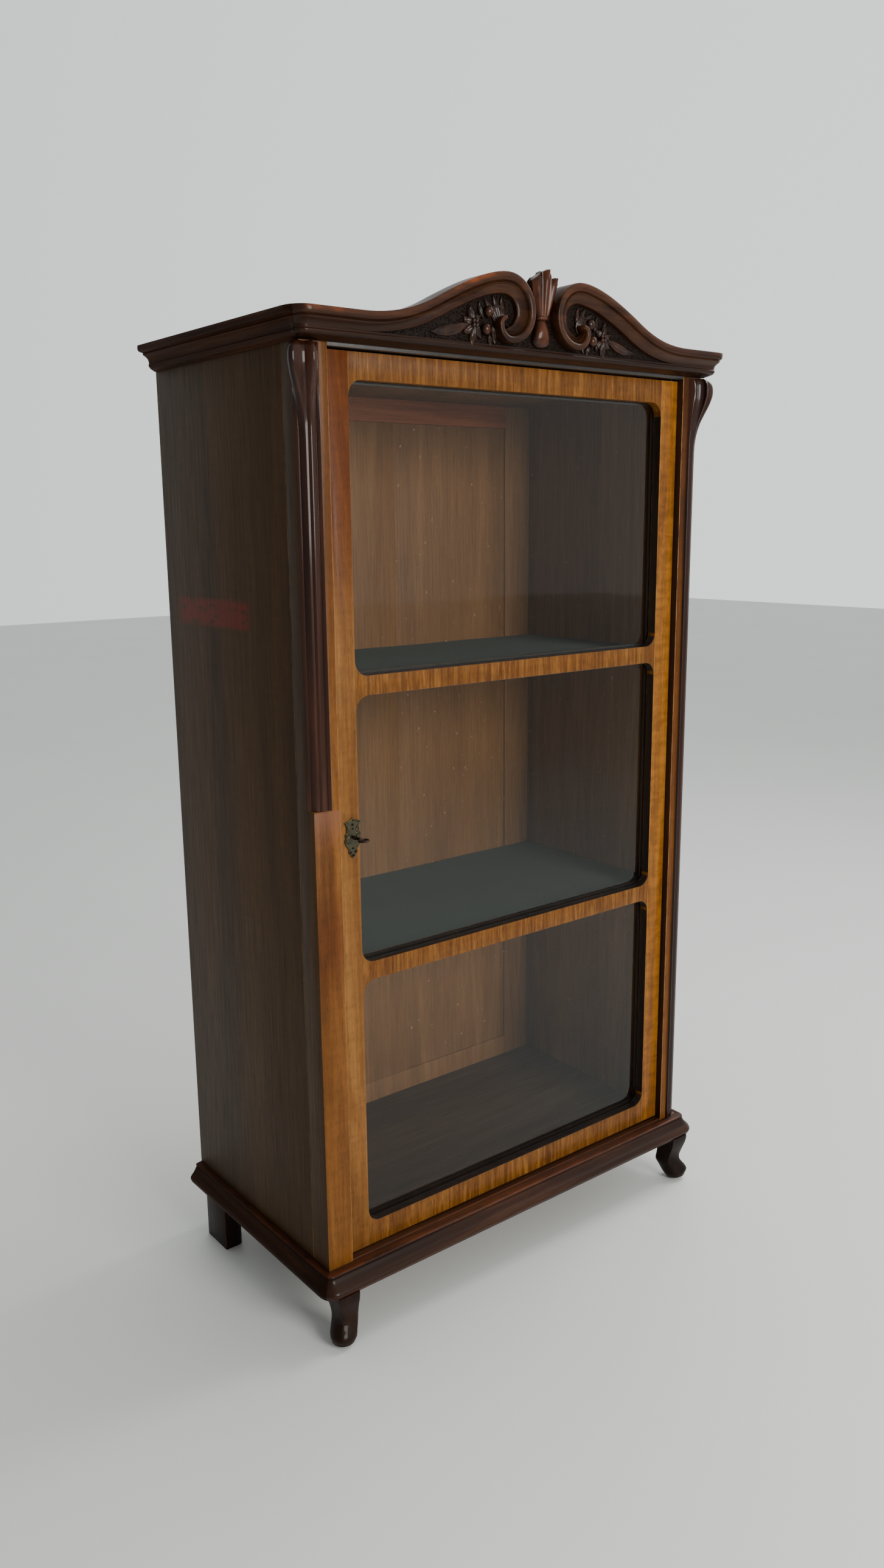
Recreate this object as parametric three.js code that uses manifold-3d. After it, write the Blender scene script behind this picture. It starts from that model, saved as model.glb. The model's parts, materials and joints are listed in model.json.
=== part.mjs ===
// Display cabinet with one glazed door: veneered case, carved pediment, reeded corner mouldings,
// moulded plinth, cabriole front feet and block rear legs. Millimetres, +Z up, the front faces -Y.
// While it is being built, y = 0 is the face of the closed door; the whole group is then moved so
// that the origin lies on the floor under the middle of the cabinet.
import * as THREE from 'three';
import { mergeVertices } from 'three/addons/utils/BufferGeometryUtils.js';
import Module from 'manifold-3d';

const wasm = await Module();
wasm.setup();

// ---- driving dimensions -------------------------------------------------------------------
const GAP = 0.3;                       // clearance between neighbouring solids

const CASE_WIDTH = 800;                // outside the side panels
const HALF_WIDTH = CASE_WIDTH / 2;
const POST_FRONT = -12;                // the posts stand this far in front of the door's face
const CASE_REAR = 412;
const CASE_TOP = 1518;                 // top of sides and posts, hidden behind the cornice
const BOARD = 19;                      // thickness of sides and boards
const POST_WIDTH = 44;
const POST_REAR = 32;
const POST_CHAMFER_FRONT = 30;         // the chamfer under the reeded moulding, on the front face
const POST_CHAMFER_SIDE = 17;          // and on the side face
const OPENING_HALF = HALF_WIDTH - POST_WIDTH;

const FOOT_HEIGHT = 90;
const PLINTH_TOP = 124;
const CORNICE_BOTTOM = 1483;
const CORNICE_TOP = 1521;

const FLOOR_TOP = 127;                 // top of the case's floor
const FLOOR_THICK = 18;
const CEILING_UNDER = 1466;
const CEILING_THICK = 17;
const BACK_FRONT = 398;                // front face of the back frame
const BACK_REAR = CASE_REAR - 1;
const BACK_STILE = 63;
const BACK_MUNTIN = 100;
const BACK_RAIL = 40;
const SHELF_THICK = 18;
const FELT_THICK = 1.6;
const SHELF_PITCH = 434.5;             // from one shelf to the next, and from door rail to door rail
const LOWER_SHELF_TOP = 592;           // top of the felt
const SHELF_FRONT = 34;
const CLEAT_HEIGHT = 22;
const CLEAT_DEPTH = 14;
const CLEAT_FRONT = 54;

const DOOR_GAP = 1.2;
const DOOR_BOTTOM = 129;
const DOOR_TOP = 1478;
const DOOR_THICK = 25;
const STILE_WIDTH = 40;
const TOP_RAIL = 36;
const MID_RAIL = 28.5;
const BOTTOM_RAIL = 38;
const PANE_CORNER = 22;                // radius of the pane openings' corners
const REBATE = 4;                      // width of the rebate that holds the glass
const REBATE_FACE = 16;                // depth of the rebate's seat behind the door's face
const GLASS_THICK = 3;
const PIVOT_IN = 12;                   // door pivots, from the door's right edge
const PIVOT_BACK = 5;                  // and behind its face
const PIVOT_RADIUS = 3;
const CEILING_FRONT = 30;              // clear of the swinging door's back corner

const KEY_HEIGHT = 802;                // the keyhole
const KEY_FROM_EDGE = 26.5;            // from the door's left edge
const CREST_FRONT = -52;               // front of the swan-neck mouldings
const PALMETTE_FRONT = -56;
const FIELD_FRONT = -34;               // the carved ground between them
const CREST_TOP = 1598;

// ---- colours ------------------------------------------------------------------------------
const material = (color, roughness, metalness = 0) =>
  new THREE.MeshStandardMaterial({ color, roughness, metalness });
const MAHOGANY = material(0x3a231b, 0.45);
const VENEER = material(0x9a6430, 0.4);
const SIDE_VENEER = material(0x4a3826, 0.55);
const INSIDE = material(0x5a4432, 0.7);
const FELT = material(0x2f4a42, 0.95);
const BRASS = material(0x5d5338, 0.5, 0.9);
const IRON = material(0x3c3833, 0.55, 0.9);
const GLASS = material(0xbfc8c6, 0.05);
GLASS.transparent = true;
GLASS.opacity = 0.3;

// ---- helpers ------------------------------------------------------------------------------
const cabinet = new THREE.Group();

function add(name, geometry, colour, parent = cabinet) {
  const mesh = new THREE.Mesh(geometry, colour);
  mesh.name = name;
  parent.add(mesh);
  return mesh;
}

function box(x0, x1, y0, y1, z0, z1) {
  const geometry = new THREE.BoxGeometry(x1 - x0, y1 - y0, z1 - z0);
  return geometry.translate((x0 + x1) / 2, (y0 + y1) / 2, (z0 + z1) / 2);
}

function bare(geometry) {
  const copy = geometry.clone();
  copy.deleteAttribute('normal');
  copy.deleteAttribute('uv');
  return mergeVertices(copy, 1e-4);
}

function solid(geometry) {
  const merged = bare(geometry);
  const vertProperties = new Float32Array(merged.attributes.position.array);
  const triVerts = new Uint32Array(merged.index.array);
  return new wasm.Manifold(new wasm.Mesh({ numProp: 3, vertProperties, triVerts }));
}

function fromSolid(manifold) {
  const mesh = manifold.getMesh();
  const geometry = new THREE.BufferGeometry();
  geometry.setAttribute('position', new THREE.BufferAttribute(mesh.vertProperties, 3));
  geometry.setIndex(new THREE.BufferAttribute(mesh.triVerts, 1));
  geometry.computeVertexNormals();
  return geometry;
}

const join = (...parts) => fromSolid(parts.map(solid).reduce((a, b) => a.add(b)));
const cut = (body, ...tools) =>
  fromSolid(tools.map(solid).reduce((rest, tool) => rest.subtract(tool), solid(body)));

// A shape drawn in x and z, extruded from y0 back to y1.
function slab(shape, y0, y1, curveSegments = 6) {
  const geometry = new THREE.ExtrudeGeometry(shape, { depth: y1 - y0, bevelEnabled: false, curveSegments });
  return geometry.rotateX(Math.PI / 2).translate(0, y1, 0);
}

// A shape drawn in x and y, extruded from z0 up to z1.
function prism(shape, z0, z1, curveSegments = 6) {
  const geometry = new THREE.ExtrudeGeometry(shape, { depth: z1 - z0, bevelEnabled: false, curveSegments });
  return geometry.translate(0, 0, z0);
}

const outline = (points) => new THREE.Shape(points.map(([a, b]) => new THREE.Vector2(a, b)));

// The mirror image across x = 0, with its faces turned back to point outwards.
function mirrored(geometry) {
  const copy = bare(geometry);
  copy.scale(-1, 1, 1);
  const index = copy.index;
  for (let i = 0; i < index.count; i += 3) {
    const first = index.getX(i);
    index.setX(i, index.getX(i + 1));
    index.setX(i + 1, first);
  }
  copy.computeVertexNormals();
  return copy;
}

// A closed body through rings of points, each ring with the same number of points.
function loft(rings) {
  const size = rings[0].length;
  const positions = rings.flat().flatMap((point) => [point.x, point.y, point.z]);
  const index = [];
  for (let r = 0; r + 1 < rings.length; r += 1) {
    for (let i = 0; i < size; i += 1) {
      const a = r * size + i;
      const b = r * size + ((i + 1) % size);
      index.push(a, b, b + size, a, b + size, a + size);
    }
  }
  capEnd(rings[0], 0, true, index);
  capEnd(rings.at(-1), (rings.length - 1) * size, false, index);
  const geometry = new THREE.BufferGeometry();
  geometry.setAttribute('position', new THREE.Float32BufferAttribute(positions, 3));
  geometry.setIndex(index);
  geometry.computeVertexNormals();
  return outward(geometry);
}

// Triangles over a flat ring, drawn on the plane that the ring lies in.
function capEnd(ring, base, reverse, index) {
  const normal = new THREE.Vector3();
  ring.forEach((point, i) => normal.add(point.clone().cross(ring[(i + 1) % ring.length])));
  normal.normalize();
  const u = new THREE.Vector3().subVectors(ring[1], ring[0]).normalize();
  const v = new THREE.Vector3().crossVectors(normal, u);
  const flat = ring.map((point) => new THREE.Vector2(point.dot(u), point.dot(v)));
  for (const [a, b, c] of THREE.ShapeUtils.triangulateShape(flat, [])) {
    index.push(base + (reverse ? c : a), base + b, base + (reverse ? a : c));
  }
}

// Turns a closed geometry's faces outwards if its volume comes out negative.
function outward(geometry) {
  const at = geometry.attributes.position;
  const index = geometry.index;
  const corner = [new THREE.Vector3(), new THREE.Vector3(), new THREE.Vector3()];
  let volume = 0;
  for (let i = 0; i < index.count; i += 3) {
    corner.forEach((point, k) => point.fromBufferAttribute(at, index.getX(i + k)));
    volume += corner[0].dot(corner[1].clone().cross(corner[2]));
  }
  if (volume < 0) {
    for (let i = 0; i < index.count; i += 3) {
      const first = index.getX(i);
      index.setX(i, index.getX(i + 1));
      index.setX(i + 1, first);
    }
    geometry.computeVertexNormals();
  }
  return geometry;
}

// ---- sizes worked out from the driving dimensions -----------------------------------------
const DOOR_HALF = OPENING_HALF - DOOR_GAP;
const LIGHT_HALF = OPENING_HALF - STILE_WIDTH;      // half width of the pane openings
const PANE_HEIGHT = (DOOR_TOP - DOOR_BOTTOM - TOP_RAIL - BOTTOM_RAIL - 2 * MID_RAIL) / 3;
const RAILS = [
  ['bottom', DOOR_BOTTOM, BOTTOM_RAIL, false, true],
  ['lower', DOOR_BOTTOM + BOTTOM_RAIL + PANE_HEIGHT, MID_RAIL, true, true],
  ['upper', DOOR_BOTTOM + BOTTOM_RAIL + 2 * PANE_HEIGHT + MID_RAIL, MID_RAIL, true, true],
  ['top', DOOR_TOP - TOP_RAIL, TOP_RAIL, true, false],
];
const PANES = ['lower', 'middle', 'upper'].map((name, i) => ({
  name,
  z0: DOOR_BOTTOM + BOTTOM_RAIL + i * (PANE_HEIGHT + MID_RAIL),
  z1: DOOR_BOTTOM + BOTTOM_RAIL + i * (PANE_HEIGHT + MID_RAIL) + PANE_HEIGHT,
}));
const SHELVES = [['lower', LOWER_SHELF_TOP], ['upper', LOWER_SHELF_TOP + SHELF_PITCH]];
const HEADER_BOTTOM = DOOR_TOP + 2.5;
const PLAY = 0.3;                      // round the pivots and the lock's moving parts
const LEAF_THICK = 2.5;
const LEAF_X1 = DOOR_HALF - 2;
const LEAF_X0 = LEAF_X1 - 46;
const LEAF_Y = [1.5, 13.5];
const SOCKET_DEPTH = 2.5;
const PIN_REACH = 7;                   // beyond the end of the door
const PIN_HOLE_DEPTH = 6;

// A pin on the door's pivot axis, from z0 up to z1.
function pivotPin(z0, z1, radius) {
  const pin = new THREE.CylinderGeometry(radius, radius, z1 - z0, 16).rotateX(Math.PI / 2);
  return pin.translate(DOOR_HALF - PIVOT_IN, PIVOT_BACK, (z0 + z1) / 2);
}

// ---- mouldings that run round the case ----------------------------------------------------
// A profile is a list of [projection, z] from the top down. The run turns about the case's front
// corner, so its corner is rounded, and it changes from the side's profile to the front's there.
function profileRing(side, front, x, y, angle) {
  const share = angle / (Math.PI / 2);
  return side.map(([reach, z], i) => {
    const out = Math.max(GAP, reach + (front[i][0] - reach) * share);
    return new THREE.Vector3(x - out * Math.cos(angle), y - out * Math.sin(angle), z);
  });
}

const CORNER_STEPS = 4;
const MITRE = Math.PI / 4;
const MITRE_GAP = 0.006;

function cornerRings(side, front, from, to) {
  const rings = [];
  for (let step = 0; step <= CORNER_STEPS; step += 1) {
    const angle = from + (to - from) * step / CORNER_STEPS;
    rings.push(profileRing(side, front, -HALF_WIDTH, POST_FRONT, angle));
  }
  return rings;
}

function sideRun(side, front) {
  const rear = profileRing(side, front, -HALF_WIDTH, CASE_REAR, 0);
  return loft([rear, ...cornerRings(side, front, 0, MITRE - MITRE_GAP)]);
}

function frontRun(side, front) {
  const left = cornerRings(side, front, MITRE + MITRE_GAP, Math.PI / 2);
  const right = left.map((ring) => ring.map((p) => new THREE.Vector3(-p.x, p.y, p.z))).reverse();
  return loft([...left, ...right]);
}

const PLINTH_SIDE = [
  [0, PLINTH_TOP], [10, PLINTH_TOP - 3], [12, PLINTH_TOP - 6], [12, PLINTH_TOP - 9],
  [14, PLINTH_TOP - 14], [19, PLINTH_TOP - 18], [22.5, PLINTH_TOP - 23], [23, PLINTH_TOP - 28],
  [22, FOOT_HEIGHT], [0, FOOT_HEIGHT],
];
const PLINTH_GROWTH = 30 / 23;         // the plinth stands out further at the front
const PLINTH_FRONT = PLINTH_SIDE.map(([reach, z]) => [reach * PLINTH_GROWTH, z]);

const CORNICE_SIDE = [
  [0, CORNICE_TOP], [26, CORNICE_TOP], [28, CORNICE_TOP - 3], [27.5, CORNICE_TOP - 8], [20, CORNICE_TOP - 11],
  [18.5, CORNICE_TOP - 14], [13.5, CORNICE_TOP - 19], [10.5, CORNICE_TOP - 24], [10.5, CORNICE_TOP - 30],
  [7, CORNICE_TOP - 34.5], [2, CORNICE_BOTTOM], [0, CORNICE_BOTTOM],
];
const CORNICE_FRONT_REACH = [0, 36, 38, 37.5, 32, 30, 25, 24, 24, 17, 6, 0];
const CORNICE_FRONT = CORNICE_SIDE.map(([, z], i) => [CORNICE_FRONT_REACH[i], z]);

function buildPlinth() {
  const side = sideRun(PLINTH_SIDE, PLINTH_FRONT);
  add('plinth_side_left', side, MAHOGANY);
  add('plinth_side_right', mirrored(side), MAHOGANY);
  add('plinth_front', frontRun(PLINTH_SIDE, PLINTH_FRONT), MAHOGANY);
}

function buildCornice() {
  const side = sideRun(CORNICE_SIDE, CORNICE_FRONT);
  add('cornice_side_left', side, MAHOGANY);
  add('cornice_side_right', mirrored(side), MAHOGANY);
}

// ---- case ---------------------------------------------------------------------------------
function postShape(chamfered) {
  const front = chamfered
    ? [[-HALF_WIDTH + POST_CHAMFER_FRONT, POST_FRONT], [-HALF_WIDTH, POST_FRONT + POST_CHAMFER_SIDE]]
    : [[-HALF_WIDTH, POST_FRONT]];
  return outline([[-OPENING_HALF, POST_REAR], [-OPENING_HALF, POST_FRONT], ...front, [-HALF_WIDTH, POST_REAR]]);
}

const LEFT_STRIP_END = 851;            // the left moulding is missing below this height
const KEY_TO_BOLT_TOP = 2.8;           // the bolt lies below the key's axis
const BOLT_HEIGHT = 11.2;
const BOLT_Y = [18.5, 22.5];           // from its front face to its back
const BOLT_TOP = KEY_HEIGHT - KEY_TO_BOLT_TOP;
const BOLT_THROW = 8;

function buildPosts() {
  const whole = prism(postShape(false), FOOT_HEIGHT, CASE_TOP);
  const left = join(
    prism(postShape(false), FOOT_HEIGHT, LEFT_STRIP_END),
    prism(postShape(true), LEFT_STRIP_END, CORNICE_BOTTOM),
    prism(postShape(false), CORNICE_BOTTOM, CASE_TOP),
  );
  const play = 1;
  const mortise = box(
    -OPENING_HALF - BOLT_THROW - play, -OPENING_HALF + play, BOLT_Y[0] - play, BOLT_Y[1] + play,
    BOLT_TOP - BOLT_HEIGHT - play, BOLT_TOP + play,
  );
  add('corner_post_left', cut(left, mortise), VENEER);
  const corner = outline([
    [-HALF_WIDTH - 1, POST_FRONT - 1], [-HALF_WIDTH + POST_CHAMFER_FRONT, POST_FRONT - 1],
    [-HALF_WIDTH + POST_CHAMFER_FRONT, POST_FRONT], [-HALF_WIDTH, POST_FRONT + POST_CHAMFER_SIDE],
    [-HALF_WIDTH - 1, POST_FRONT + POST_CHAMFER_SIDE],
  ]);
  add('corner_post_right', mirrored(cut(whole, prism(corner, PLINTH_TOP, CORNICE_BOTTOM))), VENEER);
}

function buildCase() {
  const inner = HALF_WIDTH - BOARD;
  const side = box(-HALF_WIDTH, -inner, POST_REAR + GAP, CASE_REAR, FOOT_HEIGHT, CASE_TOP);
  add('side_panel_left', side, SIDE_VENEER);
  add('side_panel_right', mirrored(side), SIDE_VENEER);
  const reach = OPENING_HALF - GAP;
  const front = box(-reach, reach, POST_FRONT, POST_REAR, FOOT_HEIGHT, FLOOR_TOP);
  const header = box(-reach, reach, POST_FRONT, CEILING_FRONT - GAP, HEADER_BOTTOM, CASE_TOP);
  const deep = SOCKET_DEPTH + PLAY;
  const pocket = (z0, z1) =>
    box(LEAF_X0 - PLAY, LEAF_X1 + PLAY, LEAF_Y[0] - PLAY, LEAF_Y[1] + PLAY, z0, z1);
  const pocketLow = pocket(FLOOR_TOP - deep, FLOOR_TOP + 1);
  const pocketTop = pocket(HEADER_BOTTOM - 1, HEADER_BOTTOM + deep);
  const holeLow = pivotPin(FLOOR_TOP - PIN_HOLE_DEPTH, FLOOR_TOP, PIVOT_RADIUS + PLAY);
  const holeTop = pivotPin(HEADER_BOTTOM, HEADER_BOTTOM + PIN_HOLE_DEPTH, PIVOT_RADIUS + PLAY);
  add('front_rail', cut(front, pocketLow, holeLow), MAHOGANY);
  add('header_rail', cut(header, pocketTop, holeTop), MAHOGANY);
  const socketLow = box(LEAF_X0, LEAF_X1, ...LEAF_Y, FLOOR_TOP - SOCKET_DEPTH, FLOOR_TOP);
  const socketTop = box(LEAF_X0, LEAF_X1, ...LEAF_Y, HEADER_BOTTOM, HEADER_BOTTOM + SOCKET_DEPTH);
  const bore = pivotPin(FLOOR_TOP - 2 * deep, HEADER_BOTTOM + 2 * deep, PIVOT_RADIUS + PLAY);
  add('pivot_socket_bottom', cut(socketLow, bore), IRON);
  add('pivot_socket_top', cut(socketTop, bore), IRON);
  const wide = inner - GAP;
  const board = (z0, z1) => box(-wide, wide, POST_REAR + GAP, BACK_FRONT - GAP, z0, z1);
  add('floor_board', board(FLOOR_TOP - FLOOR_THICK, FLOOR_TOP), INSIDE);
  add('ceiling_board', board(CEILING_UNDER, CEILING_UNDER + CEILING_THICK), INSIDE);
  for (const [side, sign] of [['left', -1], ['right', 1]]) {
    for (const [level, z] of SHELVES) {
      const top = z - FELT_THICK - SHELF_THICK - 2 * GAP;
      const middle = sign * (inner - GAP - CLEAT_DEPTH / 2);
      const x0 = middle - CLEAT_DEPTH / 2;
      const x1 = middle + CLEAT_DEPTH / 2;
      const cleat = box(x0, x1, CLEAT_FRONT, BACK_FRONT - GAP, top - CLEAT_HEIGHT, top);
      add(`shelf_cleat_${level}_${side}`, cleat, INSIDE);
    }
  }
}

function buildBack() {
  const inner = HALF_WIDTH - BOARD - GAP;
  const low = FOOT_HEIGHT;
  const high = CASE_TOP;
  const stile = box(-inner, -inner + BACK_STILE, BACK_FRONT, BACK_REAR, low, high);
  add('back_stile_left', stile, INSIDE);
  add('back_stile_right', mirrored(stile), INSIDE);
  const edge = inner - BACK_STILE - GAP;
  const railTop = CEILING_UNDER - BACK_RAIL;
  const railLow = FLOOR_TOP + BACK_RAIL;
  add('back_rail_top', box(-edge, edge, BACK_FRONT, BACK_REAR, railTop, high), INSIDE);
  add('back_rail_bottom', box(-edge, edge, BACK_FRONT, BACK_REAR, low, railLow), INSIDE);
  const half = BACK_MUNTIN / 2;
  add('back_muntin', box(-half, half, BACK_FRONT, BACK_REAR, railLow + GAP, railTop - GAP), INSIDE);
  const panel = box(-edge + GAP, -half - GAP, BACK_FRONT + 3, BACK_REAR - 2, railLow + GAP, railTop - GAP);
  add('back_panel_left', panel, INSIDE);
  add('back_panel_right', mirrored(panel), INSIDE);
}

// Each shelf sits between the sides on two cleats, with a sheet of felt laid on it.
function buildShelves() {
  const wide = HALF_WIDTH - BOARD - 1;
  for (const [level, z] of SHELVES) {
    const top = z - FELT_THICK - GAP;
    add(`shelf_${level}`, box(-wide, wide, SHELF_FRONT, BACK_FRONT - 1, top - SHELF_THICK, top), INSIDE);
    add(`shelf_felt_${level}`, box(-wide, wide, SHELF_FRONT, BACK_FRONT - 1, z - FELT_THICK, z), FELT);
  }
}

// ---- reeded corner mouldings with a carved bracket at the head ----------------------------
// The section is drawn across the post's chamfer: u runs from its front edge to its side edge.
const CHAMFER = Math.hypot(POST_CHAMFER_FRONT, POST_CHAMFER_SIDE);
const STRIP_EDGE = 4;
const STRIP_RIB = 7.5;
const BRACKET_OUT = 29;                // how far the carved head stands out from the chamfer
const BRACKET_DROP = 115;              // its height

function stripRing(z, edge, rib) {
  const flank = edge + (rib - edge) * 0.25;
  const section = [
    [0, 0], [0, edge], [0.14, edge], [0.25, flank], [0.36, rib], [0.5, rib + 0.6], [0.64, rib],
    [0.75, flank], [0.86, edge], [1, edge], [1, 0],
  ];
  const alongX = -POST_CHAMFER_FRONT / CHAMFER;
  const alongY = POST_CHAMFER_SIDE / CHAMFER;
  return section.map(([share, height]) => {
    const u = share * CHAMFER;
    const out = height + GAP;
    const x = -HALF_WIDTH + POST_CHAMFER_FRONT + u * alongX - out * alongY;
    const y = POST_FRONT + u * alongY + out * alongX;
    return new THREE.Vector3(x, y, z);
  });
}

function strip(bottom) {
  const top = CORNICE_BOTTOM - GAP;
  const rings = [stripRing(bottom, STRIP_EDGE, STRIP_RIB)];
  const head = [[0, 0], [0.3, 0.09], [0.55, 0.3], [0.75, 0.78], [0.87, 1], [0.95, 0.9], [1, 0.55]];
  for (const [up, out] of head) {
    const rib = STRIP_RIB + (BRACKET_OUT - STRIP_RIB) * out;
    const edge = STRIP_EDGE + 6 * out;
    rings.push(stripRing(top - BRACKET_DROP * (1 - up), edge, rib));
  }
  return loft(rings);
}

function buildStrips() {
  add('corner_moulding_left', strip(LEFT_STRIP_END + GAP), MAHOGANY);
  add('corner_moulding_right', mirrored(strip(PLINTH_TOP + GAP)), MAHOGANY);
}

// ---- pediment -----------------------------------------------------------------------------
// The crest falls from a scroll beside the middle to the flat cornice at each end.
const SCROLL_X = 68;                   // under the scroll's highest point
const SCROLL_RADII = [51, 45, 24, 13]; // one radius for each quarter turn of the volute
const ROLL = 12;                       // width of the scroll's outer roll
const FIELD_BOTTOM = 1497;
const CREST_END = 322;                 // where the crest meets the level cornice
const FIELD_TIP = 265;                 // where the carved ground runs out

// The crest from the flat end up to the scroll's top, drawn lower than its full height by drop.
function crest(shape, drop) {
  const top = CREST_TOP - drop;
  const flat = CORNICE_TOP - drop;
  const middleX = 190;
  const middleZ = (top + flat) / 2 - 4;
  shape.bezierCurveTo(-CREST_END + 60, flat, -middleX - 32, middleZ - 17, -middleX, middleZ);
  shape.bezierCurveTo(-middleX + 45, middleZ + 22, -SCROLL_X - 34, top, -SCROLL_X, top);
}

// Centre and radius of each quarter turn, going in from the scroll's top.
function volute(shrink) {
  const arcs = [];
  let x = -SCROLL_X;
  let z = CREST_TOP;
  SCROLL_RADII.forEach((radius, turn) => {
    const start = Math.PI / 2 - turn * Math.PI / 2;
    const cx = x - radius * Math.cos(start);
    const cz = z - radius * Math.sin(start);
    arcs.push({ cx, cz, radius: radius - shrink, start });
    x = cx + radius * Math.cos(start - Math.PI / 2);
    z = cz + radius * Math.sin(start - Math.PI / 2);
  });
  return arcs;
}

function swanNeck() {
  const shape = new THREE.Shape();
  shape.moveTo(-CREST_END, CORNICE_TOP);
  crest(shape, 0);
  for (const { cx, cz, radius, start } of volute(0)) {
    shape.absarc(cx, cz, radius, start, start - Math.PI / 2, true);
  }
  const inner = volute(ROLL);
  for (const { cx, cz, radius, start } of inner.slice(1, 3).reverse()) {
    shape.absarc(cx, cz, radius, start - Math.PI / 2, start, false);
  }
  shape.lineTo(-45, 1545);
  shape.bezierCurveTo(-46, 1562, -62, 1570, -88, 1571);
  shape.bezierCurveTo(-130, 1570, -180, 1532, -222, 1514);
  shape.lineTo(-FIELD_TIP, FIELD_BOTTOM + GAP);
  shape.lineTo(-CREST_END, FIELD_BOTTOM + GAP);
  shape.closePath();
  return slab(shape, CREST_FRONT, FIELD_FRONT - GAP, 5);
}

// The fluted leaf between the scrolls: collar, boss and fan.
function palmette() {
  const half = [
    [0, 1501], [9, 1503], [14, 1512], [14, 1530], [8, 1541], [13, 1546], [16, 1562], [25, 1586],
    [21, 1594], [12, 1597], [8, 1606], [0, 1609],
  ];
  const left = half.slice(1, -1).reverse().map(([x, z]) => [-x, z]);
  return slab(outline([...half, ...left]), PALMETTE_FRONT, FIELD_FRONT - GAP);
}

// A spray of flower, berries and a long pointed leaf, as one carved lump.
function spray() {
  const shape = outline([
    [-202, 1509], [-165, 1523], [-140, 1526], [-134, 1546], [-118, 1539], [-95, 1552], [-88, 1536],
    [-95, 1512], [-112, 1508], [-122, 1500], [-136, 1500], [-142, 1514], [-170, 1509],
  ]);
  return slab(shape, FIELD_FRONT - 9, FIELD_FRONT - GAP);
}

function buildPediment() {
  const board = new THREE.Shape();
  const cornerX = HALF_WIDTH - 4;
  board.moveTo(cornerX, CORNICE_BOTTOM);
  board.lineTo(cornerX, CORNICE_TOP - 3);
  board.lineTo(CREST_END, CORNICE_TOP - 3);
  const mirrorCrest = new THREE.Shape();
  mirrorCrest.moveTo(-CREST_END, CORNICE_TOP - 3);
  crest(mirrorCrest, 3);
  const rising = mirrorCrest.getPoints(6);
  rising.forEach((point) => board.lineTo(-point.x, point.y));
  board.lineTo(-SCROLL_X, CREST_TOP - 3);
  rising.slice(0, -1).reverse().forEach((point) => board.lineTo(point.x, point.y));
  board.lineTo(-cornerX, CORNICE_TOP - 3);
  board.lineTo(-cornerX, CORNICE_BOTTOM);
  board.closePath();
  const plate = slab(board, FIELD_FRONT, POST_FRONT - GAP);
  const front = solid(frontRun(CORNICE_SIDE, CORNICE_FRONT));
  const field = solid(box(
    -CREST_END - GAP, CREST_END + GAP, CREST_FRONT - 20, FIELD_FRONT, FIELD_BOTTOM, CORNICE_TOP + 9,
  ));
  add('pediment', fromSolid(front.subtract(field).add(solid(plate))), MAHOGANY);
  const neck = swanNeck();
  add('swan_neck_left', neck, MAHOGANY);
  add('swan_neck_right', mirrored(neck), MAHOGANY);
  add('palmette', palmette(), MAHOGANY);
  const flowers = spray();
  add('flower_spray_left', flowers, MAHOGANY);
  add('flower_spray_right', mirrored(flowers), MAHOGANY);
}

// ---- feet ---------------------------------------------------------------------------------
const FOOT_X = -382;                   // middle of the front foot's block
const FOOT_Y = -21;
const FOOT_BLOCK = 38;
const REAR_LEG = { x0: -411, x1: -376, y0: 309, y1: 376 };

// Rings up the S-shaped leg: height, place along the outward diagonal, and half sizes along it
// and across it. The toe turns outwards and the sole is round.
function frontFoot() {
  const stations = [
    [0, 2, 10, 9], [3, 3.5, 15.5, 14], [8, 6, 20, 17], [17, 5, 24.5, 19], [24, 2.5, 25, 19],
    [27, -3.5, 21.5, 18], [36, -9, 21.7, 19], [46, -8, 21.8, 19], [55, -5, 22.7, 20], [76, -0.5, 25.7, 23],
  ];
  const corners = 12;
  const rings = stations.map(([z, shift, along, across]) => {
    const points = [];
    for (let i = 0; i < corners; i += 1) {
      const angle = i * 2 * Math.PI / corners;
      const d = shift + along * Math.cos(angle);
      const s = across * Math.sin(angle);
      const x = FOOT_X - (d - s) * Math.SQRT1_2;
      const y = FOOT_Y - (d + s) * Math.SQRT1_2;
      points.push(new THREE.Vector3(x, y, z));
    }
    return points;
  });
  const half = FOOT_BLOCK / 2;
  const top = FOOT_HEIGHT - GAP;
  const block = box(FOOT_X - half, FOOT_X + half, FOOT_Y - half, FOOT_Y + half, 74, top);
  return join(loft(rings), block);
}

function buildFeet() {
  const foot = frontFoot();
  add('foot_front_left', foot, MAHOGANY);
  add('foot_front_right', mirrored(foot), MAHOGANY);
  const radius = 12;
  const { x0, x1, y0, y1 } = REAR_LEG;
  const shape = new THREE.Shape();
  shape.moveTo(x0, y0);
  shape.lineTo(x1 - radius, y0);
  shape.quadraticCurveTo(x1, y0, x1, y0 + radius);
  shape.lineTo(x1, y1);
  shape.lineTo(x0, y1);
  shape.closePath();
  const leg = prism(shape, 0, FOOT_HEIGHT - GAP, 4);
  add('leg_rear_left', leg, MAHOGANY);
  add('leg_rear_right', mirrored(leg), MAHOGANY);
}

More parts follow.
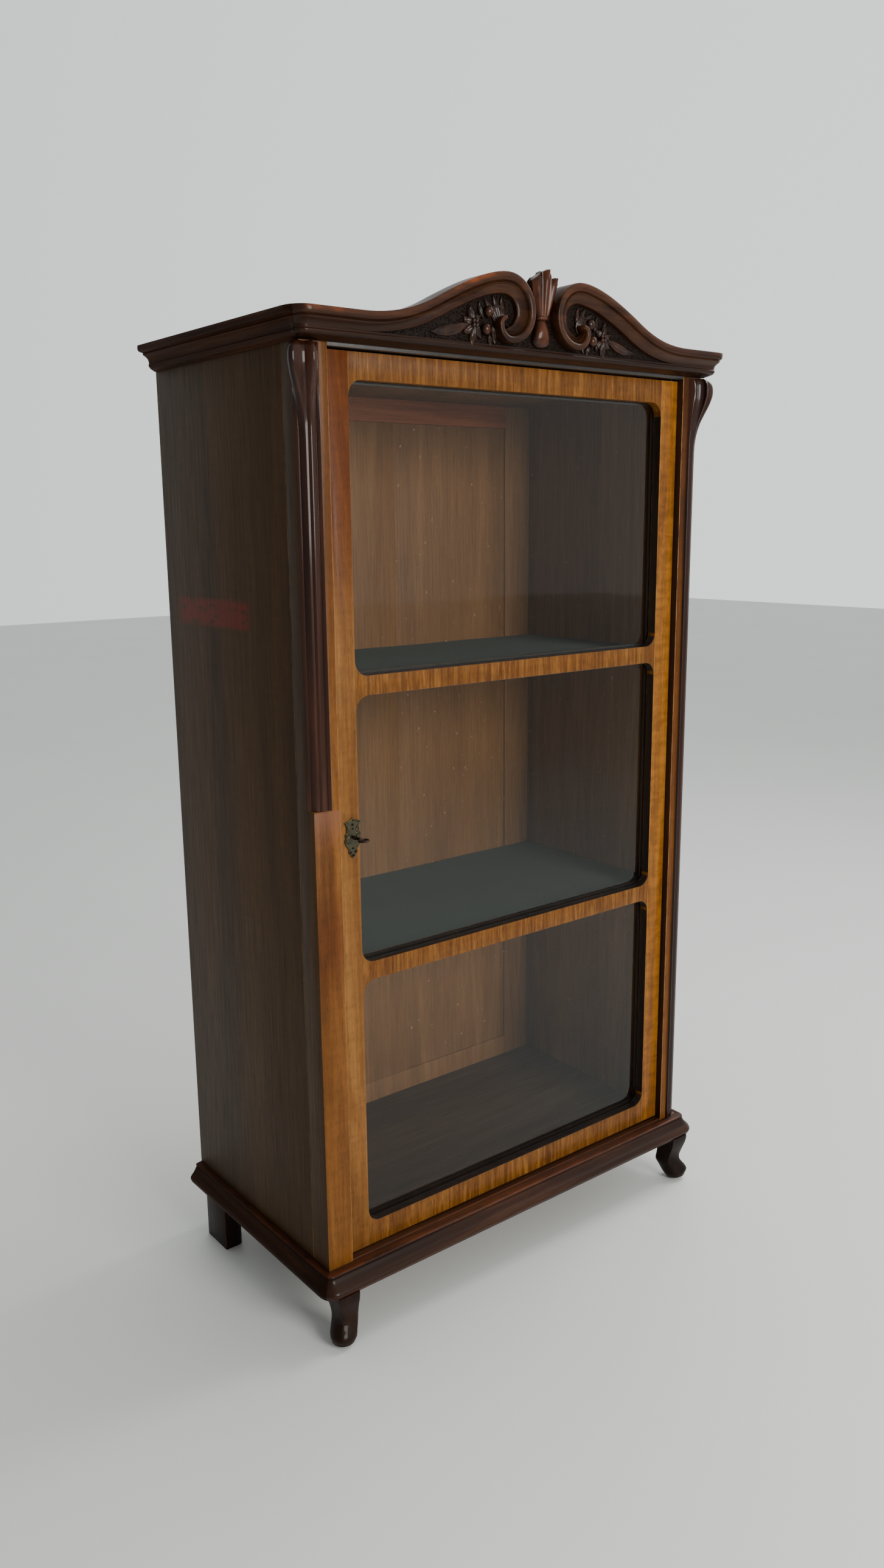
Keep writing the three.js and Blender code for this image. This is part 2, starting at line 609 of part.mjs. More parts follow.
// ---- door ---------------------------------------------------------------------------------
// A rail's face flares into the stiles with a quarter circle above and below each end.
function railFace(z0, height, flareBelow, flareAbove) {
  const x = LIGHT_HALF - GAP;
  const r = PANE_CORNER;
  const z1 = z0 + height;
  const shape = new THREE.Shape();
  if (flareBelow) {
    shape.moveTo(-x, z0 - r);
    shape.absarc(-x + r, z0 - r, r, Math.PI, Math.PI / 2, true);
    shape.lineTo(x - r, z0);
    shape.absarc(x - r, z0 - r, r, Math.PI / 2, 0, true);
  } else {
    shape.moveTo(-x, z0);
    shape.lineTo(x, z0);
  }
  if (flareAbove) {
    shape.lineTo(x, z1 + r);
    shape.absarc(x - r, z1 + r, r, 0, -Math.PI / 2, true);
    shape.lineTo(-x + r, z1);
    shape.absarc(-x + r, z1 + r, r, -Math.PI / 2, -Math.PI, true);
  } else {
    shape.lineTo(x, z1);
    shape.lineTo(-x, z1);
  }
  shape.closePath();
  return shape;
}

function doorRail(z0, height, flareBelow, flareAbove) {
  const x = LIGHT_HALF - GAP;
  const face = slab(railFace(z0, height, flareBelow, flareAbove), 0, REBATE_FACE, 5);
  const low = flareBelow ? z0 + REBATE : z0;
  const high = flareAbove ? z0 + height - REBATE : z0 + height;
  return join(face, box(-x, x, REBATE_FACE - 1, DOOR_THICK, low, high));
}

function stileShape() {
  return outline([
    [-DOOR_HALF, 0], [-LIGHT_HALF, 0], [-LIGHT_HALF, REBATE_FACE], [-LIGHT_HALF - REBATE, REBATE_FACE],
    [-LIGHT_HALF - REBATE, DOOR_THICK], [-DOOR_HALF, DOOR_THICK],
  ]);
}

const KEY_X = -DOOR_HALF + KEY_FROM_EDGE;
const SHAFT_RADIUS = 2.2;
const BIT_RADIUS = 8;
const BIT_THICK = 2;
const LOCK_FRONT = 14;
const LOCK_BACK = DOOR_THICK + 3;      // the lock's cap stands proud of the door's back
const LOCK_HALF_HEIGHT = 32;
const LOCK_LEFT = -DOOR_HALF + 0.4;
const LOCK_RIGHT = -LIGHT_HALF - REBATE - 0.6;
const LOCK_WALL = 1.2;

// The opening that the key goes through: round, with a slot below it for the bit.
function keyhole(y0, y1) {
  const radius = SHAFT_RADIUS + 0.8;
  const round = new THREE.CylinderGeometry(radius, radius, y1 - y0, 12);
  round.translate(KEY_X, (y0 + y1) / 2, KEY_HEIGHT);
  const half = BIT_THICK / 2 + 0.6;
  return join(round, box(KEY_X - half, KEY_X + half, y0, y1, KEY_HEIGHT - BIT_RADIUS - 0.8, KEY_HEIGHT));
}

// The pivot hinges: a leaf with a pin, let into each end of the door.
function buildPivots(door) {
  const top = box(LEAF_X0, LEAF_X1, ...LEAF_Y, DOOR_TOP - LEAF_THICK, DOOR_TOP);
  const low = box(LEAF_X0, LEAF_X1, ...LEAF_Y, DOOR_BOTTOM, DOOR_BOTTOM + LEAF_THICK);
  const pinTop = pivotPin(DOOR_TOP - LEAF_THICK / 2, DOOR_TOP + PIN_REACH, PIVOT_RADIUS);
  const pinLow = pivotPin(DOOR_BOTTOM - PIN_REACH, DOOR_BOTTOM + LEAF_THICK / 2, PIVOT_RADIUS);
  add('pivot_leaf_top', join(top, pinTop), IRON, door);
  add('pivot_leaf_bottom', join(low, pinLow), IRON, door);
}

function lockStile() {
  const stile = prism(stileShape(), DOOR_BOTTOM, DOOR_TOP);
  const high = LOCK_HALF_HEIGHT + GAP;
  const pocket = box(
    -DOOR_HALF - 1, LOCK_RIGHT + 1, LOCK_FRONT - GAP, DOOR_THICK + 1, KEY_HEIGHT - high, KEY_HEIGHT + high,
  );
  return cut(stile, pocket, keyhole(-1, LOCK_FRONT));
}

// The pockets in the door's ends that its two pivot leaves are let into.
function leafPockets() {
  const depth = LEAF_THICK + GAP;
  return [[DOOR_TOP - depth, DOOR_TOP + 1], [DOOR_BOTTOM - 1, DOOR_BOTTOM + depth]].map(([z0, z1]) =>
    box(LEAF_X0 - GAP, DOOR_HALF + 1, LEAF_Y[0] - GAP, LEAF_Y[1] + GAP, z0, z1));
}

function buildDoor() {
  const door = new THREE.Group();
  add('door_stile_left', lockStile(), VENEER, door);
  const hingeStile = mirrored(prism(stileShape(), DOOR_BOTTOM, DOOR_TOP));
  add('door_stile_right', cut(hingeStile, ...leafPockets()), VENEER, door);
  for (const [name, z0, height, below, above] of RAILS) {
    const rail = doorRail(z0, height, below, above);
    const hung = below && above ? rail : cut(rail, ...leafPockets());
    add(`door_rail_${name}`, hung, VENEER, door);
  }
  const seat = LIGHT_HALF + REBATE - 1;
  for (const { name, z0, z1 } of PANES) {
    const low = z0 - REBATE + 1;
    const high = z1 + REBATE - 1;
    const y0 = REBATE_FACE + GAP;
    add(`glass_${name}`, box(-seat, seat, y0, y0 + GLASS_THICK, low, high), GLASS, door);
    const frame = outline([[-seat, low], [seat, low], [seat, high], [-seat, high]]);
    const inset = 7;
    frame.holes.push(outline([
      [-seat + inset, low + inset], [-seat + inset, high - inset],
      [seat - inset, high - inset], [seat - inset, low + inset],
    ]));
    add(`glazing_bead_${name}`, slab(frame, y0 + GLASS_THICK + GAP, DOOR_THICK), MAHOGANY, door);
  }
  buildPivots(door);
  buildLock(door);
  cabinet.add(door);
}

// ---- lock, bolt, escutcheon and key -------------------------------------------------------
// All heights here are from the key's axis. The bit hangs down when the bolt is drawn back.
function boltBody() {
  const x1 = KEY_X + 5.8;
  const bar = box(LOCK_LEFT, x1, ...BOLT_Y, BOLT_TOP - BOLT_HEIGHT, BOLT_TOP);
  const notchBottom = KEY_HEIGHT - BIT_RADIUS - 0.6;
  const notch = box(KEY_X - 2.9, KEY_X + 3.2, BOLT_Y[0] - 1, BOLT_Y[1] + 1, notchBottom, BOLT_TOP + 1);
  return cut(bar, notch);
}

function lockCase() {
  const low = KEY_HEIGHT - LOCK_HALF_HEIGHT;
  const body = box(LOCK_LEFT, LOCK_RIGHT, LOCK_FRONT, LOCK_BACK, low, low + 2 * LOCK_HALF_HEIGHT);
  const y0 = BOLT_Y[0] - PLAY;
  const y1 = BOLT_Y[1] + PLAY;
  const right = LOCK_RIGHT - LOCK_WALL;
  const boltWay = box(LOCK_LEFT - 1, right, y0, y1, BOLT_TOP - BOLT_HEIGHT - PLAY, BOLT_TOP + PLAY);
  const bitWay = box(KEY_X - BIT_RADIUS - 1, right, y0, y1, KEY_HEIGHT - BIT_RADIUS - 1, KEY_HEIGHT + 4);
  const socket = new THREE.CylinderGeometry(SHAFT_RADIUS + 0.4, SHAFT_RADIUS + 0.4, 3, 12);
  socket.translate(KEY_X, y1 + 1, KEY_HEIGHT);
  return cut(body, boltWay, bitWay, socket, keyhole(LOCK_FRONT - 1, y0 + 1));
}

const PLATE_THICK = 1.4;

// The key plate: a pointed crown with two horns, a vase-shaped body and a small finial.
function escutcheon() {
  const half = [
    [0, 28], [5.5, 23.5], [14, 22], [9.5, 18], [9.5, 12], [11, 6], [10, 3], [13, -1], [13, -9],
    [10, -15], [5, -20], [5.5, -25], [3.5, -29], [0, -31],
  ];
  const other = half.slice(1, -1).reverse().map(([x, z]) => [-x, z]);
  const shape = outline([...half, ...other].map(([x, z]) => [KEY_X + x, KEY_HEIGHT + z]));
  return cut(slab(shape, -PLATE_THICK - GAP, -GAP), keyhole(-5, 5));
}

// The key: a shaft with a bit, a collar and an oval bow that lies level while the bit hangs down.
const KEY_STANDS_OUT = 20;             // from the door's face to the bow
const BOW = { wide: 22, deep: 18, thick: 4, rim: 3.4 };

function keyBody() {
  const along = (radius, y0, y1, sides) => {
    const rod = new THREE.CylinderGeometry(radius, radius, y1 - y0, sides);
    return rod.translate(KEY_X, (y0 + y1) / 2, KEY_HEIGHT);
  };
  const shaft = along(SHAFT_RADIUS, -KEY_STANDS_OUT, BOLT_Y[1] + 1.6, 12);
  const collar = along(SHAFT_RADIUS + 1, -8, -5, 12);
  const half = BIT_THICK / 2;
  const bitLow = KEY_HEIGHT - BIT_RADIUS;
  const bit = box(KEY_X - half, KEY_X + half, BOLT_Y[0] + 0.3, BOLT_Y[1] - 0.3, bitLow, KEY_HEIGHT);
  const centre = -KEY_STANDS_OUT - BOW.deep / 2 + 1.5;
  const ring = new THREE.Shape();
  ring.absellipse(0, 0, BOW.wide / 2, BOW.deep / 2, 0, 2 * Math.PI);
  const hole = new THREE.Path();
  hole.absellipse(0, 0, BOW.wide / 2 - BOW.rim, BOW.deep / 2 - BOW.rim, 0, 2 * Math.PI);
  ring.holes.push(hole);
  const bow = prism(ring, -BOW.thick / 2, BOW.thick / 2, 10).translate(KEY_X, centre, KEY_HEIGHT);
  return join(shaft, collar, bit, bow);
}

function buildLock(door) {
  add('lock_case', lockCase(), IRON, door);
  add('lock_bolt', boltBody(), IRON, door);
  add('escutcheon', escutcheon(), BRASS, door);
  add('key', keyBody(), IRON, door);
}

buildPlinth();
buildCornice();
buildPosts();
buildCase();
buildBack();
buildShelves();
buildStrips();
buildPediment();
buildFeet();
buildDoor();
cabinet.position.y = -(PALMETTE_FRONT + CASE_REAR) / 2;

export default cabinet;
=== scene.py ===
import json
from math import cos, exp, hypot, pi, radians, sin, sqrt

import bmesh
import bpy
from mathutils import Matrix, Vector


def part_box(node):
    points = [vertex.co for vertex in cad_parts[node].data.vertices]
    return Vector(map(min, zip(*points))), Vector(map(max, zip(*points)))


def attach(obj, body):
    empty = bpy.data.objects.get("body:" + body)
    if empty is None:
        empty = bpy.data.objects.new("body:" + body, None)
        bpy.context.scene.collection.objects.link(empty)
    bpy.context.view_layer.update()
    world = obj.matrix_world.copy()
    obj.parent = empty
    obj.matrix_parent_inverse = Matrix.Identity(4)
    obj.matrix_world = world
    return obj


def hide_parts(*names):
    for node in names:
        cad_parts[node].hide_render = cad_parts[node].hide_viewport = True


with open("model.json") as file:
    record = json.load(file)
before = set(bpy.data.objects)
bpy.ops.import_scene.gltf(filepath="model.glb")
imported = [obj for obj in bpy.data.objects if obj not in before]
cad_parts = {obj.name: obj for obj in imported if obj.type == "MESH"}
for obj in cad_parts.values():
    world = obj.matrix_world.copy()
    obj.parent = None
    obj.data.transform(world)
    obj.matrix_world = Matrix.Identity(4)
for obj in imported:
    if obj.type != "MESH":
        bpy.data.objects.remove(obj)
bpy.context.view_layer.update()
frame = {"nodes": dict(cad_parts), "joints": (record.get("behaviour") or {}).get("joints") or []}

MM = 0.001


# ---- sizes taken from the frame
FACE_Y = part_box("door_stile_left")[0].y


def span(node):
    """Lowest and highest corner of a CAD node in this script's millimetres."""
    low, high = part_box(node)
    shift = Vector((0, FACE_Y, 0))
    return (low - shift) / MM, (high - shift) / MM


HALF = span("side_panel_right")[1].x
POST_FRONT = span("corner_post_right")[0].y
REAR = span("side_panel_left")[1].y
CORNICE_TOP = span("cornice_side_left")[1].z + 2.2   # the drawn cornice stands a little over the solid
PLINTH_TOP = span("plinth_side_left")[1].z
CREST_TOP = span("swan_neck_left")[1].z
FIELD_REACH = POST_FRONT - span("flower_spray_left")[1].y
STRIP_TOP = span("corner_moulding_left")[1].z
DOOR_THICK = span("door_rail_top")[1].y
LIGHT_HALF = -span("door_stile_left")[1].x
KEY_JOINT = next(joint for joint in frame["joints"] if joint["name"] == "key_turn")
KEY_X = KEY_JOINT["pos_m"][0] / MM
KEY_Z = KEY_JOINT["pos_m"][2] / MM


# ---- curves and closed bodies
def lerp(a, b, share):
    return a + (b - a) * share


def ease(value, start, end):
    """0 before start, 1 after end, and a smooth rise between them."""
    share = min(1.0, max(0.0, (value - start) / (end - start)))
    return share * share * (3 - 2 * share)


def curve(points, steps):
    """Points of a smooth curve through the given ones, with steps stretches between each two."""
    points = [tuple(point) for point in points]
    padded = [points[0]] + points + [points[-1]]
    found = []
    for before, start, end, after in zip(padded, padded[1:], padded[2:], padded[3:]):
        for step in range(steps):
            t = step / steps
            found.append(tuple(
                0.5 * (2 * b + (c - a) * t + (2 * a - 5 * b + 4 * c - d) * t * t
                       + (3 * b - a - 3 * c + d) * t ** 3)
                for a, b, c, d in zip(before, start, end, after)
            ))
    return found + [points[-1]]


def strokes(*parts, steps=4):
    """One profile from several smooth strokes that meet at sharp corners."""
    points = []
    for part in parts:
        drawn = curve(part, steps) if len(part) > 2 else [tuple(point) for point in part]
        points += drawn if not points else drawn[1:]
    return points


def loft(rings, caps=True):
    """Vertices and faces of a body through rings with equal numbers of points."""
    size = len(rings[0])
    verts = [Vector(point) for ring in rings for point in ring]
    faces = [
        (r * size + i, r * size + (i + 1) % size, (r + 1) * size + (i + 1) % size, (r + 1) * size + i)
        for r in range(len(rings) - 1) for i in range(size)
    ]
    if caps:
        faces.append(tuple(range(size)))
        faces.append(tuple(range(len(verts) - size, len(verts))))
    return verts, faces


def slab(outline, y0, y1):
    """A flat body with an outline drawn in x and z, from y0 back to y1."""
    return loft([[(x, y, z) for x, z in outline] for y in (y0, y1)])


def block(x0, x1, y0, y1, z0, z1):
    return slab([(x0, z0), (x1, z0), (x1, z1), (x0, z1)], y0, y1)


def circle(sides):
    """Cosine and sine at equal steps round a circle."""
    return [(cos(2 * pi * k / sides), sin(2 * pi * k / sides)) for k in range(sides)]


def tube(points, thick, thin, sides=8):
    """A round bar along a line of points, with one radius at its start and another at its end."""
    points = [Vector(point) for point in points]
    side = (points[1] - points[0]).orthogonal()
    rings = []
    for i, point in enumerate(points):
        ahead = (points[min(i + 1, len(points) - 1)] - points[max(i - 1, 0)]).normalized()
        side = (side - ahead * side.dot(ahead)).normalized()
        other = ahead.cross(side)
        r = lerp(thick, thin, i / (len(points) - 1))
        rings.append([point + side * r * c + other * r * s for c, s in circle(sides)])
    return loft(rings)


def ring(points, radius, sides=8):
    """A round bar along a closed line of points that lies in one plane."""
    count = len(points)
    points = [Vector(point) for point in points]
    middle = sum(points, Vector()) / count
    spokes = [point - middle for point in points]
    normal = sum((spokes[i - 1].cross(spokes[i]) for i in range(count)), Vector()).normalized()
    rings = []
    for i, point in enumerate(points):
        side = (points[(i + 1) % count] - points[i - 1]).normalized().cross(normal)
        rings.append([point + side * radius * c + normal * radius * s for c, s in circle(sides)])
    return loft(rings + [rings[0]], caps=False)


def turned(profile, axis_x, axis_z, sides=20):
    """A body turned about a line along y. The profile is a list of (y, radius)."""
    return loft([[(axis_x + r * c, y, axis_z + r * s) for c, s in circle(sides)] for y, r in profile])


def ball(centre, radius, squash=1.0, sides=14):
    """A round berry or bead, flattened along y by squash."""
    x, y, z = centre
    steps = sides // 2
    profile = [
        (y - radius * squash * cos(pi * k / steps), max(radius * sin(pi * k / steps), 0.02))
        for k in range(steps + 1)
    ]
    return turned(profile, x, z, sides)


def joined(*bodies):
    verts, faces = [], []
    for more, more_faces in bodies:
        base = len(verts)
        verts += more
        faces += [tuple(base + i for i in face) for face in more_faces]
    return verts, faces


def mirrored(body):
    verts, faces = body
    return [Vector((-v[0], v[1], v[2])) for v in verts], [tuple(reversed(face)) for face in faces]


# ---- pieces
SHARP = radians(38)                          # edges that turn more than this stay crisp
WORN_FROM, WORN_TO = radians(39), radians(46)
ROUNDED = radians(40)                        # edges that turn more than this are planed round
COPLANAR = radians(0.4)


def convexity(bm):
    """For each vertex, how sharply the surface turns outwards there, from 0 to 1."""
    found = []
    for vert in bm.verts:
        turn = max((edge.calc_face_angle_signed(0) for edge in vert.link_edges), default=0)
        found.append(min(1.0, max(0.0, (turn - WORN_FROM) / (WORN_TO - WORN_FROM))))
    return found


def placed(name, data):
    """A new object in the scene."""
    obj = bpy.data.objects.new(name, data)
    bpy.context.scene.collection.objects.link(obj)
    return obj


def dress(name, bm, body, slot, materials, nodes, pick, worn):
    """Makes the finished object from a bmesh whose vertices are in metres."""
    for face in bm.faces:
        face.smooth = True
        face.material_index = pick(face) if pick else 0
    for edge in bm.edges:
        edge.smooth = edge.is_boundary or edge.calc_face_angle(0) < SHARP
    values = [worn(v.co) for v in bm.verts] if worn else convexity(bm)
    mesh = bpy.data.meshes.new(name)
    bm.to_mesh(mesh)
    bm.free()
    mesh.attributes.new("worn", "FLOAT", "POINT").data.foreach_set("value", values)
    for material in materials if isinstance(materials, list) else [materials]:
        mesh.materials.append(material)
    obj = placed(name, mesh)
    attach(obj, body)
    if nodes:
        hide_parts(*nodes)
    return obj


def closed_mesh(shape):
    verts, faces = shape
    bm = bmesh.new()
    made = [bm.verts.new((v[0] * MM, FACE_Y + v[1] * MM, v[2] * MM)) for v in verts]
    for face in faces:
        bm.faces.new([made[i] for i in face])
    bmesh.ops.remove_doubles(bm, verts=bm.verts, dist=1e-6)
    bmesh.ops.dissolve_degenerate(bm, dist=1e-6, edges=bm.edges)
    bmesh.ops.recalc_face_normals(bm, faces=bm.faces)
    return bm


def soften(bm, width):
    """Rounds the sharp edges, as planing and years of use do."""
    edges = [edge for edge in bm.edges if edge.is_manifold and edge.calc_face_angle(0) > ROUNDED]
    bmesh.ops.bevel(
        bm, geom=edges, offset=width * MM, segments=2, profile=0.5, affect="EDGES", clamp_overlap=True,
    )


def piece(name, shape, body, slot, materials, nodes=(), edge=0.0, pick=None, worn=None):
    """A piece drawn in this script. pick chooses each face's material from the list."""
    bm = closed_mesh(shape)
    if edge:
        soften(bm, edge)
    return dress(name, bm, body, slot, materials, nodes, pick, worn)


def pair(name, node, shape, material, worn, right=None):
    """A mahogany piece of the case on the left and its counterpart on the right."""
    for side, made in (("left", shape), ("right", right or mirrored(shape))):
        piece(f"{name}_{side}", made, "case", "dark_mahogany", material, (f"{node}_{side}",), worn=worn)


def refined(node, body, slot, materials, edge, pick=None, worn=None):
    """The CAD node's own shape with its sharp edges rounded."""
    bm = bmesh.new()
    bm.from_mesh(frame["nodes"][node].data)
    bmesh.ops.remove_doubles(bm, verts=bm.verts, dist=1e-5)
    bmesh.ops.dissolve_limit(bm, angle_limit=COPLANAR, verts=bm.verts, edges=bm.edges)
    soften(bm, edge)
    return dress(f"{node}_wood", bm, body, slot, materials, (node,), pick, worn)


def keep(node, material):
    """The CAD node stays as it is and gets a finished material."""
    obj = frame["nodes"][node]
    obj.data.materials.clear()
    obj.data.materials.append(material)


# ---- material building
def linear(red, green, blue):
    """A colour given as 0 to 255 on screen, as the renderer wants it."""
    def one(value):
        value /= 255
        return value / 12.92 if value <= 0.04045 else ((value + 0.055) / 1.055) ** 2.4
    return (one(red), one(green), one(blue), 1.0)


class Graph:
    """Short calls for building the nodes of a material or of the world."""

    def __init__(self, name, family=bpy.data.materials, shader="Principled BSDF"):
        self.material = family.new(name)
        self.material.use_nodes = True
        self.tree = self.material.node_tree
        self.shader = self.tree.nodes[shader]
        self.place = self.node("TexCoord").outputs["Object"]

    def feed(self, socket, value):
        """Sets an input, or links it when the value is another node's output."""
        if isinstance(value, bpy.types.NodeSocket):
            self.tree.links.new(value, socket)
        else:
            socket.default_value = value

    def node(self, kind, inputs=None, **settings):
        made = self.tree.nodes.new("ShaderNode" + kind)
        for key, value in settings.items():
            setattr(made, key, value)
        for key, value in (inputs or {}).items():
            self.feed(made.inputs[key], value)
        return made

    def stretched(self, scale, shift=(0, 0, 0)):
        inputs = {"Vector": self.place, "Location": shift, "Scale": scale}
        return self.node("Mapping", inputs).outputs["Vector"]

    def noise(self, vector, scale, detail=3.0, rough=0.55, twist=0.0):
        inputs = {"Vector": vector, "Scale": scale, "Detail": detail, "Roughness": rough, "Distortion": twist}
        return self.node("TexNoise", inputs).outputs["Fac"]

    def worn(self):
        """The share of wear that dress() wrote into the mesh; the old metal also places its painted highlight
        by it.
        """
        return self.node("Attribute", attribute_name="worn").outputs["Fac"]

    def ramp(self, value, *stops):
        """A colour for each value: stops are (position, colour), a colour being a grey or four numbers."""
        made = self.node("ValToRGB", {"Fac": value})
        elements = made.color_ramp.elements
        while len(elements) < len(stops):
            elements.new(0.5)
        for element, (position, colour) in zip(elements, stops):
            element.position = position
            element.color = colour if isinstance(colour, tuple) else (colour, colour, colour, 1)
        return made.outputs["Color"]

    def maths(self, operation, a, b, clamp=False):
        return self.node("Math", {0: a, 1: b}, operation=operation, use_clamp=clamp).outputs[0]

    def add(self, a, b, clamp=False):
        return self.maths("ADD", a, b, clamp)

    def times(self, a, b, clamp=False):
        return self.maths("MULTIPLY", a, b, clamp)

    def rescale(self, value, low, high, to_low=0.0, to_high=1.0, smooth=False):
        inputs = {"Value": value, "From Min": low, "From Max": high, "To Min": to_low, "To Max": to_high}
        kind = "SMOOTHSTEP" if smooth else "LINEAR"
        return self.node("MapRange", inputs, interpolation_type=kind, clamp=True).outputs["Result"]

    def window(self, value, rise, full, fall, end):
        """0 up to rise, 1 from full to fall, 0 again after end."""
        rising = self.rescale(value, rise, full, smooth=True)
        return self.times(rising, self.rescale(value, fall, end, 1, 0, True))

    def blend(self, share, a, b, way="MIX"):
        inputs = {0: share, 6: a, 7: b}
        return self.node("Mix", inputs, data_type="RGBA", blend_type=way).outputs[2]

    def darker(self, share, colour, by):
        """The colour multiplied by another, as far as share says."""
        return self.blend(share, colour, by, "MULTIPLY")

    def axis(self, name):
        return self.node("SeparateXYZ", {"Vector": self.place}).outputs[name]

    def bump(self, height, strength, distance):
        inputs = {"Height": height, "Strength": strength, "Distance": distance}
        normal = self.node("Bump", inputs).outputs["Normal"]
        self.feed(self.shader.inputs["Normal"], normal)
        return normal

    def finish(self, colour, roughness, **fixed):
        self.feed(self.shader.inputs["Base Color"], colour)
        self.feed(self.shader.inputs["Roughness"], roughness)
        for socket, value in fixed.items():
            self.shader.inputs[socket.replace("_", " ")].default_value = value
        return self.material


def along(grain, across, length):
    """A mapping scale that stretches a pattern along the grain."""
    return tuple(length if axis == grain else across for axis in "XYZ")


def wood(name, dark, mid, light, grain="Z", seed=0.0, figure=26.0, rough=0.4, shine=0.5, coat=0.0,
         pores=0.4, mottle=0.0, worn=None, wear=1.0, tint=None):
    """Polished wood: broad figure, fine streaks, pores, cross mottle, worn edges.

    tint, if given, takes the graph and the wood's colour and returns the colour to use."""
    g = Graph(name)
    shift = (seed * 1.7, seed * 2.3, seed * 0.9)

    def pattern(length, *noise):
        return g.noise(g.stretched(along(grain, 1, length), shift), *noise)

    broad = pattern(0.07, figure, 5, 0.6, 0.9)
    streak = pattern(0.035, 260, 4, 0.65)
    pore = pattern(0.05, 1500, 2, 0.5)
    colour = g.ramp(broad, (0.3, linear(*dark)), (0.5, linear(*mid)), (0.7, linear(*light)))
    colour = g.darker(0.75, colour, g.ramp(streak, (0.3, 0.62), (0.62, 1.0)))
    colour = g.darker(pores, colour, g.ramp(pore, (0.36, 0.45), (0.44, 1.0)))
    if mottle:
        colour = g.darker(mottle, colour, g.ramp(pattern(2.4, 30, 3, 0.5, 0.6), (0.35, 0.72), (0.65, 1.25)))
    if tint:
        colour = tint(g, colour)
    if worn:
        patchy = g.rescale(pattern(0.4, 60, 6, 0.6), 0.34, 0.62, 0.15, 1, True)
        colour = g.blend(g.times(g.times(g.worn(), patchy), wear, True), colour, worn)
    satin = g.rescale(streak, 0.3, 0.7, rough + 0.08, rough - 0.06)
    g.bump(g.add(g.times(streak, 0.5), g.times(pore, 0.5)), 0.35, 0.0004)
    return g.finish(colour, satin, Specular_IOR_Level=shine, Coat_Weight=coat, Coat_Roughness=0.1)


# ---- colours
WORN_ORANGE = linear(150, 72, 24)
WORN_PALE = linear(214, 160, 96)
RED = (0.5, 0.27, 0.13, 1)
RED_SCUFF = linear(96, 32, 16)
PINKISH = linear(128, 84, 66)
CHIP = linear(196, 170, 140)
SHADE = (0.86, 0.84, 0.8, 1)


# Tints of single boards. Heights and reaches in them are metres of the scene.
def redder_above(g, colour):
    """The lock stile turns red-brown towards its top."""
    rise = g.add(g.axis("Z"), g.times(g.noise(g.stretched((1, 1, 0.3)), 14), 0.12))
    return g.blend(g.rescale(rise, 1.11, 1.37, 0, 0.85, True), colour, g.darker(1.0, colour, RED))


def stained_patch(g, colour):
    """A reddish stain low on the left corner post, and pinkish wood just below the broken moulding."""
    height = g.add(g.axis("Z"), g.times(g.noise(g.stretched((1, 1, 0.12)), 60, 2), 0.05))
    stain = g.times(g.window(height, 0.56, 0.66, 0.70, 0.80), 0.5)
    colour = g.blend(stain, colour, g.darker(1.0, colour, RED))
    below = g.rescale(g.axis("Z"), 0.848, 0.850, 1, 0)
    top = g.times(g.rescale(height, 0.81, 0.88, smooth=True), below)
    return g.blend(g.times(top, 0.5), colour, PINKISH)


def marked_post(g, colour):
    """The right post's facing is pieced: the part above the joint is darker."""
    return g.blend(g.rescale(g.axis("Z"), 1.2495, 1.2505), colour, g.darker(1.0, colour, SHADE))


def chipped(g, colour):
    """Small pale chips and paint specks scattered over the inside."""
    specks = g.rescale(g.noise(g.stretched((1, 1, 0.6)), 150, 2), 0.72, 0.76, 0, 0.6, True)
    return g.blend(specks, colour, CHIP)


def scuffed(g, colour):
    """A level red-brown scuff across the left side panel, where another board once rubbed."""
    ragged = g.times(g.noise(g.stretched((1, 0.4, 2)), 40, 4), 0.03)
    across = g.add(g.axis("Y"), ragged)
    level = g.window(g.axis("Z"), 1.092, 1.104, 1.132, 1.144)
    area = g.times(level, g.window(across, -0.02, 0.0, 0.19, 0.23))
    broken = g.rescale(g.noise(g.stretched((1, 1, 2.5)), 30, 4), 0.35, 0.5, 0.25, 0.95, True)
    left_side = g.rescale(g.axis("X"), -0.05, -0.04, 1, 0)
    return g.blend(g.times(area, g.times(broken, left_side)), colour, RED_SCUFF)


# A wood's three colours are the dark, middle and light tone of its figure.
MAHOGANY_TONES = (20, 9, 5), (38, 19, 10), (62, 34, 18)
mahogany_x = wood(
    "polished_mahogany_level", (27, 13, 7), (50, 27, 15), (78, 46, 27), "X", figure=18, rough=0.4,
    shine=0.1, coat=0.14, worn=WORN_ORANGE, wear=0.6)
mahogany_y = wood(
    "polished_mahogany_sides", *MAHOGANY_TONES, "Y", figure=18, rough=0.55, shine=0.04, coat=0.03,
    worn=WORN_ORANGE, wear=0.5)
mahogany_z = wood(
    "polished_mahogany_upright", *MAHOGANY_TONES, figure=20, rough=0.34, shine=0.12, coat=0.24,
    worn=WORN_ORANGE, wear=0.8)
mahogany_strip = wood(
    "polished_mahogany_strips", (26, 11, 6), (45, 21, 12), (70, 37, 22), figure=20, rough=0.36,
    shine=0.1, coat=0.3, worn=WORN_ORANGE, wear=0.8)
mahogany_foot = wood(
    "polished_mahogany_feet", (18, 9, 5), (34, 18, 10), (54, 31, 18), figure=20, rough=0.4, shine=0.06,
    coat=0.12, worn=WORN_ORANGE, wear=0.4)
veneer_rail = wood(
    "cross_banded_veneer", (86, 47, 13), (114, 69, 22), (142, 94, 40), seed=3.1, figure=130, rough=0.38,
    shine=0.15, coat=0.03, pores=0.8, mottle=0.3, worn=WORN_PALE)
